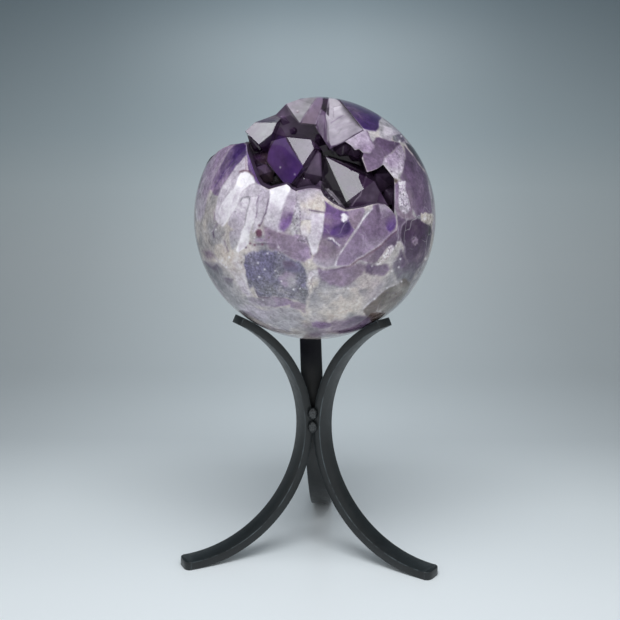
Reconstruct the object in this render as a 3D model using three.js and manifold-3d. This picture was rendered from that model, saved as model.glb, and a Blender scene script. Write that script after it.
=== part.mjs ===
// A polished amethyst ball with an open, crystal-lined hollow, standing on a welded three-legged iron stand.
// Millimetres, +Z up. The ball rests on the three arms. X runs to the right and Y to the back.
import * as THREE from 'three';
import * as BufferGeometryUtils from 'three/addons/utils/BufferGeometryUtils.js';
import { ConvexGeometry } from 'three/addons/geometries/ConvexGeometry.js';
import Module from 'manifold-3d';

const wasm = await Module();
wasm.setup();

// Driving dimensions of the ball.
const BALL_DIAMETER = 170;
const BALL_AROUND = 64;
const BALL_UPWARD = 32;

// Driving dimensions of the stand: three flat bars, each rolled to one arc.
const BAR_WIDTH = 16;
const BAR_THICKNESS = 6;
const BAR_EDGE = 1;
const ARC_RADIUS = 93.5;
const WAIST_INSET = 4.7;
const TIP_ANGLE = THREE.MathUtils.degToRad(64.2);
const ARC_STEPS = 30;
const FOOT_CORNER = 5;
const FOOT_CORNER_STEPS = 4;
const STAND_TURN = -4.7;
const BACK_LEG_TURN = 3.3;
const BACK_LEG_LEAN = 3.4;
const WELD_RADIUS = 3;
const WELD_FROM_AXIS = 11;
const WELD_AROUND = 12;
const WELD_UPWARD = 8;

// Neighbouring pieces keep this gap, and corners nearer than SAME_PLACE are one corner.
const GAP = 0.3;
const SAME_PLACE = 1e-4;

// The hollow: its mouth seen from the front, as right and up from the ball's centre, and its depth.
const HOLLOW_FLOOR = 8;
const LINING = 8;
const FRONT_REACH = 100;
const MOUTH = [
  [-90, 30], [-74.5, 38.5], [-66, 47.5], [-58, 52], [-45.5, 54.2], [-44, 48.5], [-36, 28], [-28.5, 26],
  [-19, 28], [-11, 25], [3, 25.5], [6.5, 19], [19, 14.5], [31.5, 16.5], [44.5, 16.5], [51, 9],
  [51, 21.5], [50.5, 31], [43.5, 40], [39.5, 38], [33, 36], [29.5, 44.5], [31.5, 48], [25.5, 49.5],
  [19.5, 55], [31.5, 61.5], [15, 84.5], [15, 96], [-90, 96],
];
// Where the hollow breaks out over the left shoulder, the ball ends along this line. Behind BREAK_FRONT the
// broken face drops away from it: each corner by its own two distances, at the two places of BREAK_BACK.
const BREAK_FRONT = 14;
const BREAK_BACK = [-14, -70];
const BREAK_DROP = [0.4, -0.92];
const SHOULDER = [
  { corner: [-90, 30], drops: [0, 0] },
  { corner: [-74.5, 38.5], drops: [2, 6] },
  { corner: [-66, 47.5], drops: [5, 10] },
  { corner: [-58, 52], drops: [2, 14] },
  { corner: [-48, 53.5], drops: [3, 8] },
  { corner: [-45, 54], drops: [-2, 2] },
  { corner: [-47, 61], drops: [4, 10] },
  { corner: [-40.5, 67], drops: [6, 12] },
  { corner: [-26.5, 72.5], drops: [1, 10] },
  { corner: [-20, 79.2], drops: [5, 14] },
  { corner: [-10, 83], drops: [1, 10] },
  { corner: [2, 84.8], drops: [0, 4] },
  { corner: [2, 96], drops: [0, 0] },
  { corner: [-90, 96], drops: [0, 0] },
];

// Quartz habit: the angle between a crystal's long axis and the normal of a face of its point.
const POINT_FACE_ANGLE = THREE.MathUtils.degToRad(51.8);

// Crystals cramped by their neighbours. Each is the list of its own faces: a point on the face as right,
// front and up from the ball's centre, and the way the face looks.
const CRAMPED_CRYSTALS = {
  window: [
    { through: [-18.6, 48, 57.6], facing: [0.05, 0.85, 0.52] },
    { through: [-18.6, 48, 57.6], facing: [-0.65, 0.75, 0.05] },
    { through: [-18.6, 48, 57.6], facing: [0.09, -0.4, 0.91] },
    { through: [-2.7, 48, 56], facing: [0.86, 0.24, 0.44] },
    { through: [0.5, 53, 47], facing: [0.75, 0.21, -0.62] },
    { through: [-7.8, 58, 39.3], facing: [0.87, 0.29, -0.39] },
    { through: [-32, 38, 45], facing: [-0.95, -0.1, 0.3] },
    { through: [-20.3, 49, 28], facing: [-0.78, 0.11, -0.62] },
    { through: [-20, 49, 27], facing: [0, 0.2, -0.98] },
  ],
  shoulder: [
    { through: [-40.3, 24, 67], facing: [-0.1, 0.83, 0.55] },
    { through: [-37.5, 34, 52.5], facing: [0.65, 0.55, -0.53] },
    { through: [-37.5, 34, 52.5], facing: [-0.71, 0.12, -0.69] },
    { through: [-28.8, 30.5, 59.5], facing: [0.93, 0.2, -0.26] },
    { through: [-40.3, 24, 67], facing: [-0.04, 0.35, 0.93] },
  ],
  crown: [
    { through: [-10.5, 28, 66.8], facing: [0.18, 0.765, 0.615] },
    { through: [-10.5, 28, 66.8], facing: [0.55, 0.75, 0.35] },
    { through: [-10.5, 28, 66.8], facing: [-0.77, -0.1, -0.63] },
    { through: [-10.5, 28, 66.8], facing: [-0.3, -0.3, -0.9] },
  ],
  sliver: [
    { through: [8.4, 19, 75.6], facing: [-0.62, 0.57, 0.49] },
    { through: [3.4, 15, 75.6], facing: [-0.3, 0.2, 0.93] },
    { through: [9.9, 41, 49.3], facing: [-0.75, -0.11, -0.65] },
    { through: [12, 40, 50], facing: [1, 0, 0] },
  ],
  pale: [
    { through: [9.3, 38.9, 53.3], facing: [-1, 0, -0.05] },
    { through: [10.7, 56, 50.7], facing: [-0.27, 0.52, 0.81] },
    { through: [10.7, 56, 50.7], facing: [0.39, -0.11, -0.915] },
  ],
};

// Crystals that grew freely to a point: the tip as right, front and up from the ball's centre, the way
// the point looks, and half the distance across flats. face is the way the main face looks.
const MAIN_CRYSTAL = {
  tip: [6.7, 52, 45.2],
  axis: [-0.49, 0.23, 0.83],
  face: [0.05, 0.85, 0.52],
  apothem: 20.8,
};
const SMALL_CRYSTALS = [
  { tip: [-62, 12, 42], axis: [-0.4, 0.5, 0.7], apothem: 8 },
  { tip: [-52, 14, 48], axis: [-0.5, 0.6, 0.6], apothem: 8 },
  { tip: [-44, 22, 56], axis: [-0.6, 0.7, 0.3], apothem: 6 },
  { tip: [-39, 34, 43], axis: [-0.2, 0.9, 0.3], apothem: 8 },
  { tip: [-33, 44, 34], axis: [0.05, 0.97, 0.1], apothem: 6 },
  { tip: [-30, 22, 61], axis: [-0.3, 0.9, 0.2], apothem: 9 },
  { tip: [-25, 60, 25], axis: [0.2, 0.6, 0.8], apothem: 6 },
  { tip: [-24, 18, 71], axis: [-0.4, 0.8, 0.4], apothem: 7 },
  { tip: [-14, 19, 62], axis: [0.15, 0.95, 0.1], apothem: 13 },
  { tip: [-13, 62, 26], axis: [0.1, 0.6, 0.8], apothem: 6 },
  { tip: [-7, 50, 31], axis: [0.1, 0.8, 0.5], apothem: 8 },
  { tip: [2, 45, 49], axis: [0.15, 0.6, 0.8], apothem: 10 },
  { tip: [3, 21, 57], axis: [-0.1, 0.95, 0.15], apothem: 10 },
  { tip: [3, 58, 30], axis: [-0.2, 0.6, 0.75], apothem: 6 },
  { tip: [6, 14, 81], axis: [0.1, 0.6, 0.8], apothem: 5 },
  { tip: [12, 30, 56], axis: [-0.2, 0.9, 0.1], apothem: 7 },
  { tip: [20, 34, 48], axis: [0.1, 0.9, -0.3], apothem: 6 },
  { tip: [26, 38, 45], axis: [-0.2, 0.9, -0.2], apothem: 5 },
  { tip: [40, 46, 34], axis: [-0.3, 0.8, 0.4], apothem: 10 },
  { tip: [46, 44, 14], axis: [-0.3, 0.6, 0.7], apothem: 7 },
  { tip: [46, 50, 24], axis: [-0.5, 0.7, 0.4], apothem: 7 },
];

const stoneMaterial = new THREE.MeshStandardMaterial({ color: 0xa596b4, roughness: 0.08, metalness: 0 });
const crystalMaterial = new THREE.MeshStandardMaterial({ color: 0x4b2d6e, roughness: 0.06, metalness: 0 });
const ironMaterial = new THREE.MeshStandardMaterial({ color: 0x2d3234, roughness: 0.45, metalness: 0.6 });
const weldMaterial = new THREE.MeshStandardMaterial({ color: 0x34393b, roughness: 0.55, metalness: 0.6 });

// Closed solid from a geometry whose faces share their corners by position alone.
function solid(geometry) {
  const bare = geometry.clone();
  bare.deleteAttribute('normal');
  bare.deleteAttribute('uv');
  const merged = BufferGeometryUtils.mergeVertices(bare, SAME_PLACE);
  const vertProperties = new Float32Array(merged.attributes.position.array);
  const triVerts = new Uint32Array(merged.index.array);
  return new wasm.Manifold(new wasm.Mesh({ numProp: 3, vertProperties, triVerts }));
}

function geometryOf(manifold) {
  const mesh = manifold.getMesh();
  const geometry = new THREE.BufferGeometry();
  geometry.setAttribute('position', new THREE.BufferAttribute(new Float32Array(mesh.vertProperties), 3));
  geometry.setIndex(new THREE.BufferAttribute(new Uint32Array(mesh.triVerts), 1));
  return geometry;
}

function piece(name, manifold, material) {
  const mesh = new THREE.Mesh(geometryOf(manifold), material);
  mesh.name = name;
  return mesh;
}

// Right, front and up as a vector of the part's frame.
function place([right, front, up]) {
  return new THREE.Vector3(right, -front, up);
}

// A prism of a front-view outline that runs from one distance in front of the ball's centre to another.
function frontPrism(outline, fromFront, toFront) {
  const shape = new THREE.Shape(outline.map(([right, up]) => new THREE.Vector2(right, up)));
  const geometry = new THREE.ExtrudeGeometry(shape, { depth: toFront - fromFront, bevelEnabled: false });
  geometry.rotateX(Math.PI / 2);
  geometry.translate(0, -fromFront, 0);
  return solid(geometry);
}

// A closed solid through rings of equally many corners, from the frontmost to the hindmost. Each ring lies
// at one distance to the front and runs anticlockwise as seen from there.
function loft(rings) {
  const count = rings[0].length;
  const faces = [];
  for (let ring = 0; ring + 1 < rings.length; ring += 1) {
    for (let i = 0; i < count; i += 1) {
      const [near, nextNear] = [ring * count + i, ring * count + ((i + 1) % count)];
      faces.push([near, near + count, nextNear + count], [near, nextNear + count, nextNear]);
    }
  }
  const flat = (ring) => ring.map((corner) => new THREE.Vector2(corner.x, corner.z));
  const hindmost = (rings.length - 1) * count;
  faces.push(...THREE.ShapeUtils.triangulateShape(flat(rings[0]), []));
  for (const [a, b, c] of THREE.ShapeUtils.triangulateShape(flat(rings.at(-1)), [])) {
    faces.push([hindmost + a, hindmost + c, hindmost + b]);
  }
  const geometry = new THREE.BufferGeometry().setFromPoints(rings.flat());
  geometry.setIndex(faces.flat());
  return solid(geometry);
}

// The outline moved inwards by a distance, corner by corner. It runs anticlockwise.
function insetOutline(outline, distance) {
  const origin = new THREE.Vector2();
  const inwards = (from, to) => to.clone().sub(from).normalize().rotateAround(origin, Math.PI / 2);
  return outline.map((corner, i) => {
    const point = new THREE.Vector2(...corner);
    const before = inwards(new THREE.Vector2(...outline.at(i - 1)), point);
    const after = inwards(point, new THREE.Vector2(...outline[(i + 1) % outline.length]));
    const middle = before.clone().add(after).normalize();
    point.addScaledVector(middle, distance / middle.dot(before));
    return point.toArray();
  });
}

// Where three faces meet, or nothing where two of them are parallel.
function meeting(a, b, c) {
  const bc = b.normal.clone().cross(c.normal);
  const volume = a.normal.dot(bc);
  if (Math.abs(volume) < SAME_PLACE) {
    return null;
  }
  const corner = bc.multiplyScalar(a.reach);
  corner.addScaledVector(c.normal.clone().cross(a.normal), b.reach);
  corner.addScaledVector(a.normal.clone().cross(b.normal), c.reach);
  return corner.divideScalar(volume);
}

// The body that lies behind all the faces: its corners are the meetings that no other face cuts off.
function convexBody(faces) {
  const corners = [];
  for (let i = 0; i < faces.length; i += 1) {
    for (let j = i + 1; j < faces.length; j += 1) {
      for (let k = j + 1; k < faces.length; k += 1) {
        const corner = meeting(faces[i], faces[j], faces[k]);
        if (corner && faces.every((face) => face.normal.dot(corner) < face.reach + SAME_PLACE)) {
          corners.push(corner);
        }
      }
    }
  }
  return solid(new ConvexGeometry(corners));
}

// A face from a point on it and the way it looks, both given as right, front and up.
function faceOf({ through, facing }) {
  const normal = place(facing).normalize();
  return { normal, reach: normal.dot(place(through)) };
}

// The box that a crystal's hidden faces keep to: from the hollow's floor out past the ball.
const hiddenFaces = [
  { through: [0, HOLLOW_FLOOR, 0], facing: [0, -1, 0] },
  { through: [0, FRONT_REACH, 0], facing: [0, 1, 0] },
  { through: [FRONT_REACH, 0, 0], facing: [1, 0, 0] },
  { through: [-FRONT_REACH, 0, 0], facing: [-1, 0, 0] },
  { through: [0, 0, FRONT_REACH], facing: [0, 0, 1] },
  { through: [0, 0, -FRONT_REACH], facing: [0, 0, -1] },
].map(faceOf);

// A quartz crystal of regular habit: a six-sided prism with a six-faced point. A crystal that isn't given
// a main face has one that looks upwards.
function pointedCrystal({ tip, axis, apothem, face = [axis[2], axis[1], -axis[0]] }) {
  const apex = place(tip);
  const along = place(axis).normalize();
  const out = place(face).addScaledVector(along, -place(face).dot(along)).normalize();
  const faces = [];
  for (let k = 0; k < 6; k += 1) {
    const sideways = out.clone().applyAxisAngle(along, (k * Math.PI) / 3);
    faces.push({ normal: sideways, reach: sideways.dot(apex) + apothem });
    const sloping = sideways.clone().multiplyScalar(Math.sin(POINT_FACE_ANGLE));
    sloping.addScaledVector(along, Math.cos(POINT_FACE_ANGLE));
    faces.push({ normal: sloping, reach: sloping.dot(apex) });
  }
  return convexBody([...faces, ...hiddenFaces]);
}

const ballRadius = BALL_DIAMETER / 2;
const arcStep = (TIP_ANGLE + Math.PI / 2) / (ARC_STEPS - 0.5);
const footAngle = -Math.PI / 2 - arcStep / 2;
const arcHeight = ARC_RADIUS * Math.cos(arcStep / 2);

function ball() {
  const geometry = new THREE.SphereGeometry(ballRadius, BALL_AROUND, BALL_UPWARD);
  geometry.rotateX(Math.PI / 2);
  return solid(geometry);
}

// What is broken off the shoulder, as rings of corners from the front of the ball to its back.
function brokenShoulder() {
  const ringAt = (front, dropOf) => SHOULDER.map(({ corner, drops }) => {
    const drop = dropOf(drops);
    return place([corner[0] + BREAK_DROP[0] * drop, front, corner[1] + BREAK_DROP[1] * drop]);
  });
  const straight = [FRONT_REACH, BREAK_FRONT].map((front) => ringAt(front, () => 0));
  const falling = BREAK_BACK.map((front, i) => ringAt(front, (drops) => drops[i]));
  return loft([...straight, ...falling]);
}

const shoulderCut = brokenShoulder();

// The ball with its hollow, about the ball's own centre.
function amethystBall() {
  const hollow = frontPrism(MOUTH, HOLLOW_FLOOR, FRONT_REACH);
  return ball().subtract(hollow).subtract(shoulderCut);
}

// The hollow's crust: a floor of quartz with all its crystals, cut off flush with the ball's polish.
function crystalCrust() {
  const floor = frontPrism(MOUTH, HOLLOW_FLOOR, HOLLOW_FLOOR + LINING);
  const crampedCrystal = (faces) => convexBody([...faces.map(faceOf), ...hiddenFaces]);
  const cramped = Object.values(CRAMPED_CRYSTALS).map(crampedCrystal);
  const pointed = [MAIN_CRYSTAL, ...SMALL_CRYSTALS].map(pointedCrystal);
  const crust = [...cramped, ...pointed].reduce((grown, crystal) => grown.add(crystal), floor);
  const room = frontPrism(insetOutline(MOUTH, GAP), HOLLOW_FLOOR + GAP, FRONT_REACH);
  return crust.intersect(room).intersect(ball()).subtract(shoulderCut);
}

// One bar, rolled to an arc in the plane of X and Z with its centre at height 0, convex towards the axis
// and out along +X. Its foot ends half a step past the lowest point, so that the foot has a flat.
function bar(extra) {
  const outer = ARC_RADIUS + extra;
  const inner = ARC_RADIUS - BAR_THICKNESS - extra;
  const angles = Array.from({ length: ARC_STEPS + 1 }, (_, i) => footAngle + i * arcStep);
  const onArc = (radius) => (angle) => new THREE.Vector2(-radius * Math.cos(angle), radius * Math.sin(angle));
  const shape = new THREE.Shape([...angles.map(onArc(outer)), ...angles.reverse().map(onArc(inner))]);
  const width = BAR_WIDTH + 2 * extra;
  const geometry = new THREE.ExtrudeGeometry(shape, {
    depth: width - 2 * BAR_EDGE,
    bevelThickness: BAR_EDGE,
    bevelSize: BAR_EDGE,
    bevelOffset: -BAR_EDGE,
    bevelSegments: 1,
  });
  geometry.translate(0, 0, -width / 2 + BAR_EDGE);
  geometry.rotateX(Math.PI / 2);
  geometry.translate(WAIST_INSET + ARC_RADIUS, 0, 0);
  return solid(geometry).intersect(footPlan(width));
}

// The bar's outline from above, with the foot's two corners rounded off.
function footPlan(width) {
  const end = WAIST_INSET + ARC_RADIUS - ARC_RADIUS * Math.cos(footAngle);
  const half = width / 2;
  const shape = new THREE.Shape();
  shape.moveTo(-BAR_WIDTH, -half);
  shape.lineTo(end - FOOT_CORNER, -half);
  shape.absarc(end - FOOT_CORNER, -half + FOOT_CORNER, FOOT_CORNER, -Math.PI / 2, 0);
  shape.absarc(end - FOOT_CORNER, half - FOOT_CORNER, FOOT_CORNER, 0, Math.PI / 2);
  shape.lineTo(-BAR_WIDTH, half);
  const depth = 4 * ARC_RADIUS;
  const flat = { depth, bevelEnabled: false, curveSegments: FOOT_CORNER_STEPS };
  const geometry = new THREE.ExtrudeGeometry(shape, flat);
  geometry.translate(0, 0, -depth / 2);
  return solid(geometry);
}

// Moves a solid by a matrix.
function moved(manifold, matrix) {
  const geometry = geometryOf(manifold);
  geometry.applyMatrix4(matrix);
  return solid(geometry);
}

// Where each leg stands: the way it points from above, and how far it leans sideways on its way up.
const LEGS = {
  leg_left: { turn: 210 + STAND_TURN, lean: 0 },
  leg_right: { turn: 330 + STAND_TURN, lean: 0 },
  leg_back: { turn: 90 + STAND_TURN + BACK_LEG_TURN, lean: BACK_LEG_LEAN },
};

function leg(name, extra = 0) {
  const { turn, lean } = LEGS[name];
  const leaning = new THREE.Matrix4().makeShear(0, 0, 0, 0, 0, Math.tan(THREE.MathUtils.degToRad(lean)));
  const turning = new THREE.Matrix4().makeRotationZ(THREE.MathUtils.degToRad(turn));
  const lifting = new THREE.Matrix4().makeTranslation(0, 0, arcHeight);
  return moved(bar(extra), lifting.multiply(turning).multiply(leaning));
}

// The seams between the bars: the way each one faces from above, and the bars on its two sides.
const FRONT_SEAM = { turn: 270 + STAND_TURN, between: ['leg_left', 'leg_right'] };
const LEFT_SEAM = { turn: 150 + STAND_TURN + BACK_LEG_TURN / 2, between: ['leg_left', 'leg_back'] };
const RIGHT_SEAM = { turn: 30 + STAND_TURN + BACK_LEG_TURN / 2, between: ['leg_right', 'leg_back'] };

// Two short beads on the seam that faces forwards, and a longer one on each seam beside the back leg.
const WELDS = {
  weld_front_upper: { seam: FRONT_SEAM, height: 103.5, tall: 8 },
  weld_front_lower: { seam: FRONT_SEAM, height: 93.5, tall: 7.5 },
  weld_side_left: { seam: LEFT_SEAM, height: 97, tall: 14 },
  weld_side_right: { seam: RIGHT_SEAM, height: 97, tall: 14 },
};

// A weld bead in the groove between two bars, cut back from both of them.
function weld({ seam, height, tall }) {
  const geometry = new THREE.SphereGeometry(WELD_RADIUS, WELD_AROUND, WELD_UPWARD);
  geometry.rotateX(Math.PI / 2);
  geometry.scale(1, 1, tall / (2 * WELD_RADIUS));
  geometry.translate(WELD_FROM_AXIS, 0, 0);
  geometry.rotateZ(THREE.MathUtils.degToRad(seam.turn));
  geometry.translate(0, 0, height);
  return seam.between.reduce((bead, name) => bead.subtract(leg(name, GAP)), solid(geometry));
}

const stand = new THREE.Group();
for (const name of Object.keys(LEGS)) {
  stand.add(piece(name, leg(name), ironMaterial));
}
for (const [name, bead] of Object.entries(WELDS)) {
  stand.add(piece(name, weld(bead), weldMaterial));
}

// The ball's centre is one ball radius and one gap away from each arc's outer face.
const armReach = ARC_RADIUS + ballRadius + GAP;
const ballHeight = arcHeight + Math.sqrt(armReach ** 2 - (WAIST_INSET + ARC_RADIUS) ** 2);
const stone = new THREE.Group();
stone.add(piece('amethyst_sphere', amethystBall(), stoneMaterial));
stone.add(piece('vug_crystals', crystalCrust(), crystalMaterial));
stone.position.z = ballHeight;

// The whole stands with the middle of its outline, seen from above, over the origin.
const amethystSphere = new THREE.Group();
amethystSphere.add(stand, stone);
amethystSphere.updateMatrixWorld(true);
const middle = new THREE.Box3().setFromObject(amethystSphere, true).getCenter(new THREE.Vector3());
amethystSphere.position.set(-middle.x, -middle.y, 0);

export default amethystSphere;
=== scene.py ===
"""A polished amethyst ball with an open hollow of crystals, resting on a welded three-legged iron stand."""

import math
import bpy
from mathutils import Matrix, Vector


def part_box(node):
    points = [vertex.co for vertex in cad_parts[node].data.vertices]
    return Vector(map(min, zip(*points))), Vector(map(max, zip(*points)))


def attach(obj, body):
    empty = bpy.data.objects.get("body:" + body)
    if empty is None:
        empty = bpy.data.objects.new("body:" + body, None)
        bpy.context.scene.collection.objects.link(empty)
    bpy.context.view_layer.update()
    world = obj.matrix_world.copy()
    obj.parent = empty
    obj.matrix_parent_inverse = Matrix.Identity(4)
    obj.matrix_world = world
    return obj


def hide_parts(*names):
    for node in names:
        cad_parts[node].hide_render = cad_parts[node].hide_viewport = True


bl_info = {
    "name": "Amethyst ball on its stand",
    "version": (1, 0, 0),
    "blender": (4, 5, 0),
    "location": "3D View > Sidebar > Amethyst ball",
    "description": "Builds the banded ball, its crust of crystals, the iron stand and the stage",
    "category": "Object",
}

import bpy
import numpy as np
from mathutils import Matrix, Vector

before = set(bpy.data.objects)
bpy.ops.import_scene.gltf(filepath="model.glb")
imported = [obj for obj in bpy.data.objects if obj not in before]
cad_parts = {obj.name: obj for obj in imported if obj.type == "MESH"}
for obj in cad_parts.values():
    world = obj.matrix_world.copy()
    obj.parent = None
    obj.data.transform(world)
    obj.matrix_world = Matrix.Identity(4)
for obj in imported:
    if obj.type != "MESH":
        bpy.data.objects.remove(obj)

MM = 0.001

# The ball, as the frame has it.
BALL_LOW, BALL_HIGH = (Vector(corner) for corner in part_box("amethyst_sphere"))
BALL_RADIUS_MM = 85
BALL_RADIUS = BALL_RADIUS_MM * MM
BALL_CENTRE = Vector((BALL_HIGH.x - BALL_RADIUS, BALL_HIGH.y - BALL_RADIUS, BALL_LOW.z + BALL_RADIUS))

# The photographer's eye, in metres and radians, and the picture's size and focal length in its own dots.
EYE = Vector((0.003176, -0.710415, 0.304446))
EYE_PITCH = 0.178961
EYE_YAW = 0.0035869
EYE_ROLL = 0.0038348
PICTURE = 620
FOCAL = 991.105
SENSOR = 36


def sight_axes():
    """The ways right, up and forward from the eye."""
    forward = Matrix.Rotation(EYE_YAW, 3, "Z") @ Vector((0, math.cos(EYE_PITCH), -math.sin(EYE_PITCH)))
    right = forward.cross(Vector((0, 0, 1))).normalized()
    up = right.cross(forward)
    c, s = math.cos(EYE_ROLL), math.sin(EYE_ROLL)
    return right * c + up * s, up * c - right * s, forward


RIGHT, UP, FORWARD = sight_axes()


def seen_at(points):
    """Where points of the part lie in the picture, in dots from its upper left corner."""
    away = np.asarray(points) - np.array(EYE)
    depth = away @ np.array(FORWARD)
    x = PICTURE / 2 + FOCAL * (away @ np.array(RIGHT)) / depth
    y = PICTURE / 2 - FOCAL * (away @ np.array(UP)) / depth
    return np.stack([x, y], axis=1)


# ---------------------------------------------------------------------------------------------- sizes

# The hollow's mouth from the front: right and up from the ball's centre, in mm, anticlockwise.
MOUTH = [
    (-90, 30), (-74.5, 38.7), (-69.3, 44.3), (-63.6, 49.5), (-57.6, 51.6), (-51, 53.2), (-46.7, 54),
    (-44.4, 52.6), (-43.7, 48), (-41.5, 43), (-38.6, 36), (-36.3, 31), (-34.3, 27.9), (-32.1, 26.7),
    (-29.1, 25.3), (-24.6, 26.6), (-20.7, 27.8), (-17.8, 28.6), (-16.2, 27.5), (-14.8, 26), (-11.8, 24.4),
    (-10.6, 25), (-6.6, 25.9), (-3.7, 26.4), (-0.6, 26.5), (3.5, 25.7), (4.7, 23.5), (5.6, 21.7), (8.1, 19.5),
    (11.2, 17.3), (15, 15.3), (19.4, 13.2), (25.1, 13.7), (30.9, 14.6), (33.4, 15.4), (36, 16), (39.9, 16.5),
    (44.5, 15.8), (47.1, 13.8), (49.1, 11.7), (50.7, 9.6), (50.9, 15.1), (50.9, 21.4), (51, 27.9),
    (50.7, 31.8), (48, 35.2), (45.4, 38.3), (43.6, 40.4), (39.4, 37.9), (36.1, 36.8), (32.9, 36),
    (31.3, 40.2), (29.7, 44.6), (30.8, 47.6), (27.9, 50.2), (25.3, 49.7), (22.7, 52.6), (19, 55),
    (31.5, 62), (15, 84.5), (15, 96), (-90, 96),
]
# In front of the ball's centre, in mm: the hollow's floor, how thick the crust lies on it at least, and how
# far the tools reach. The crust stays clear of the walls by the gap.
HOLLOW_FLOOR = 8
LINING = 8
FRONT_REACH = 100
CRUST_GAP = 0.08
# The longest edge of the crust's mesh, and how far a face of the ball looks to the eye where the mesh is
# fine, so that both can carry their markings.
MARKING_EDGE = 1.3 * MM
FINE_SIDE = 0.07

# Where the hollow breaks out over the left shoulder, the ball ends along these corners. Behind BREAK_FRONT
# the broken face falls away, each corner by its own distances at the places of BREAK_BACK.
BREAK_FRONT = 14
BREAK_BACK = (-14, -70)
BREAK_DROP = (0.4, -0.92)
SHOULDER = [
    ((-90, 30), (0, 0)), ((-74.5, 38.5), (2, 6)), ((-66, 47.5), (5, 10)), ((-58, 52), (2, 14)),
    ((-48, 53.5), (3, 8)), ((-45, 54), (-2, 2)), ((-47, 61), (4, 10)), ((-40.5, 67), (6, 12)),
    ((-26.5, 72.5), (1, 10)), ((-20, 79.2), (5, 14)), ((-10, 83), (1, 10)), ((2, 84.8), (0, 4)),
    ((2, 96), (0, 0)), ((-90, 96), (0, 0)),
]

# Quartz habit: the angle between a crystal's long axis and the normal of a face of its point.
POINT_FACE_ANGLE = math.radians(51.8)

# Crystals cramped by their neighbours: for each face a point on it, as right, front and up from the
# ball's centre in mm, and the way it looks.
CRAMPED_CRYSTALS = {
    "window": [
        ((-18.6, 48, 57.6), (0.05, 0.85, 0.52)),
        ((-18.6, 48, 57.6), (-0.65, 0.75, 0.05)),
        ((-18.6, 48, 57.6), (0.09, -0.4, 0.91)),
        ((-2.7, 48, 56), (0.86, 0.24, 0.44)),
        ((0.5, 53, 47), (0.75, 0.21, -0.62)),
        ((-7.8, 58, 39.3), (0.87, 0.29, -0.39)),
        ((-32, 38, 45), (-0.95, -0.1, 0.3)),
        ((-20.3, 49, 28), (-0.78, 0.11, -0.62)),
        ((-20, 49, 27), (0, 0.2, -0.98)),
    ],
    "shoulder": [
        ((-40.3, 24, 67), (-0.1, 0.83, 0.55)),
        ((-37.5, 34, 52.5), (0.65, 0.55, -0.53)),
        ((-37.5, 34, 52.5), (-0.71, 0.12, -0.69)),
        ((-28.8, 30.5, 59.5), (0.93, 0.2, -0.26)),
        ((-40.3, 24, 67), (-0.04, 0.35, 0.93)),
    ],
    "crown": [
        ((-10.5, 28, 66.8), (0.18, 0.765, 0.615)),
        ((-10.5, 28, 66.8), (0.55, 0.75, 0.35)),
        ((-10.5, 28, 66.8), (-0.77, -0.1, -0.63)),
        ((-10.5, 28, 66.8), (-0.3, -0.3, -0.9)),
    ],
    "sliver": [
        ((8.4, 19, 75.6), (-0.62, 0.57, 0.49)),
        ((3.4, 15, 75.6), (-0.3, 0.2, 0.93)),
        ((9.9, 41, 49.3), (-0.75, -0.11, -0.65)),
        ((12, 40, 50), (1, 0, 0)),
    ],
    "pale": [
        ((9.3, 38.9, 53.3), (-1, 0, -0.05)),
        ((10.7, 56, 50.7), (-0.27, 0.52, 0.81)),
        ((10.7, 56, 50.7), (0.39, -0.11, -0.915)),
    ],
}
# Crystals that grew freely: the tip, the way the point looks, half the distance across flats and, for the
# main one, the way its main face looks.
MAIN_CRYSTAL = ((6.7, 52, 45.2), (-0.49, 0.23, 0.83), 20.8, (0.05, 0.85, 0.52))
SMALL_CRYSTALS = [
    ((-62, 12, 42), (-0.4, 0.5, 0.7), 8), ((-52, 14, 48), (-0.5, 0.6, 0.6), 8),
    ((-44, 22, 56), (-0.6, 0.7, 0.3), 6), ((-39, 34, 43), (-0.2, 0.9, 0.3), 8),
    ((-33, 44, 34), (0.05, 0.97, 0.1), 6), ((-30, 22, 61), (-0.3, 0.9, 0.2), 9),
    ((-25, 60, 25), (0.2, 0.6, 0.8), 6), ((-24, 18, 71), (-0.4, 0.8, 0.4), 7),
    ((-14, 19, 62), (0.15, 0.95, 0.1), 13), ((-13, 62, 26), (0.1, 0.6, 0.8), 6),
    ((-7, 50, 31), (0.1, 0.8, 0.5), 8), ((2, 45, 49), (0.15, 0.6, 0.8), 10),
    ((3, 21, 57), (-0.1, 0.95, 0.15), 10), ((3, 58, 30), (-0.2, 0.6, 0.75), 6),
    ((6, 14, 81), (0.1, 0.6, 0.8), 5), ((12, 30, 56), (-0.2, 0.9, 0.1), 7),
    ((20, 34, 48), (0.1, 0.9, -0.3), 6), ((26, 38, 45), (-0.2, 0.9, -0.2), 5),
    ((40, 46, 34), (-0.3, 0.8, 0.4), 10), ((46, 44, 14), (-0.3, 0.6, 0.7), 7),
    ((46, 50, 24), (-0.5, 0.7, 0.4), 7),
]

# The stand: each bar is rolled to one arc, convex towards the stand's axis.
WAIST_INSET = 4.7
TIP_ANGLE = math.radians(64.2)
CAD_ARC_STEPS = 30
STAND_TURN = -4.7
BACK_LEG_TURN = 3.3
BACK_LEG_LEAN = 3.4
LEG_TURNS = {
    "leg_left": (210 + STAND_TURN, 0),
    "leg_right": (330 + STAND_TURN, 0),
    "leg_back": (90 + STAND_TURN + BACK_LEG_TURN, BACK_LEG_LEAN),
}
# The weld beads: the way each seam faces from above, the bead's middle height and how tall it is.
WELD_BEADS = {
    "weld_front_upper": (270 + STAND_TURN, 103.5, 8),
    "weld_front_lower": (270 + STAND_TURN, 93.5, 7.5),
    "weld_side_left": (150 + STAND_TURN + BACK_LEG_TURN / 2, 97, 14),
    "weld_side_right": (30 + STAND_TURN + BACK_LEG_TURN / 2, 97, 14),
}
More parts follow.
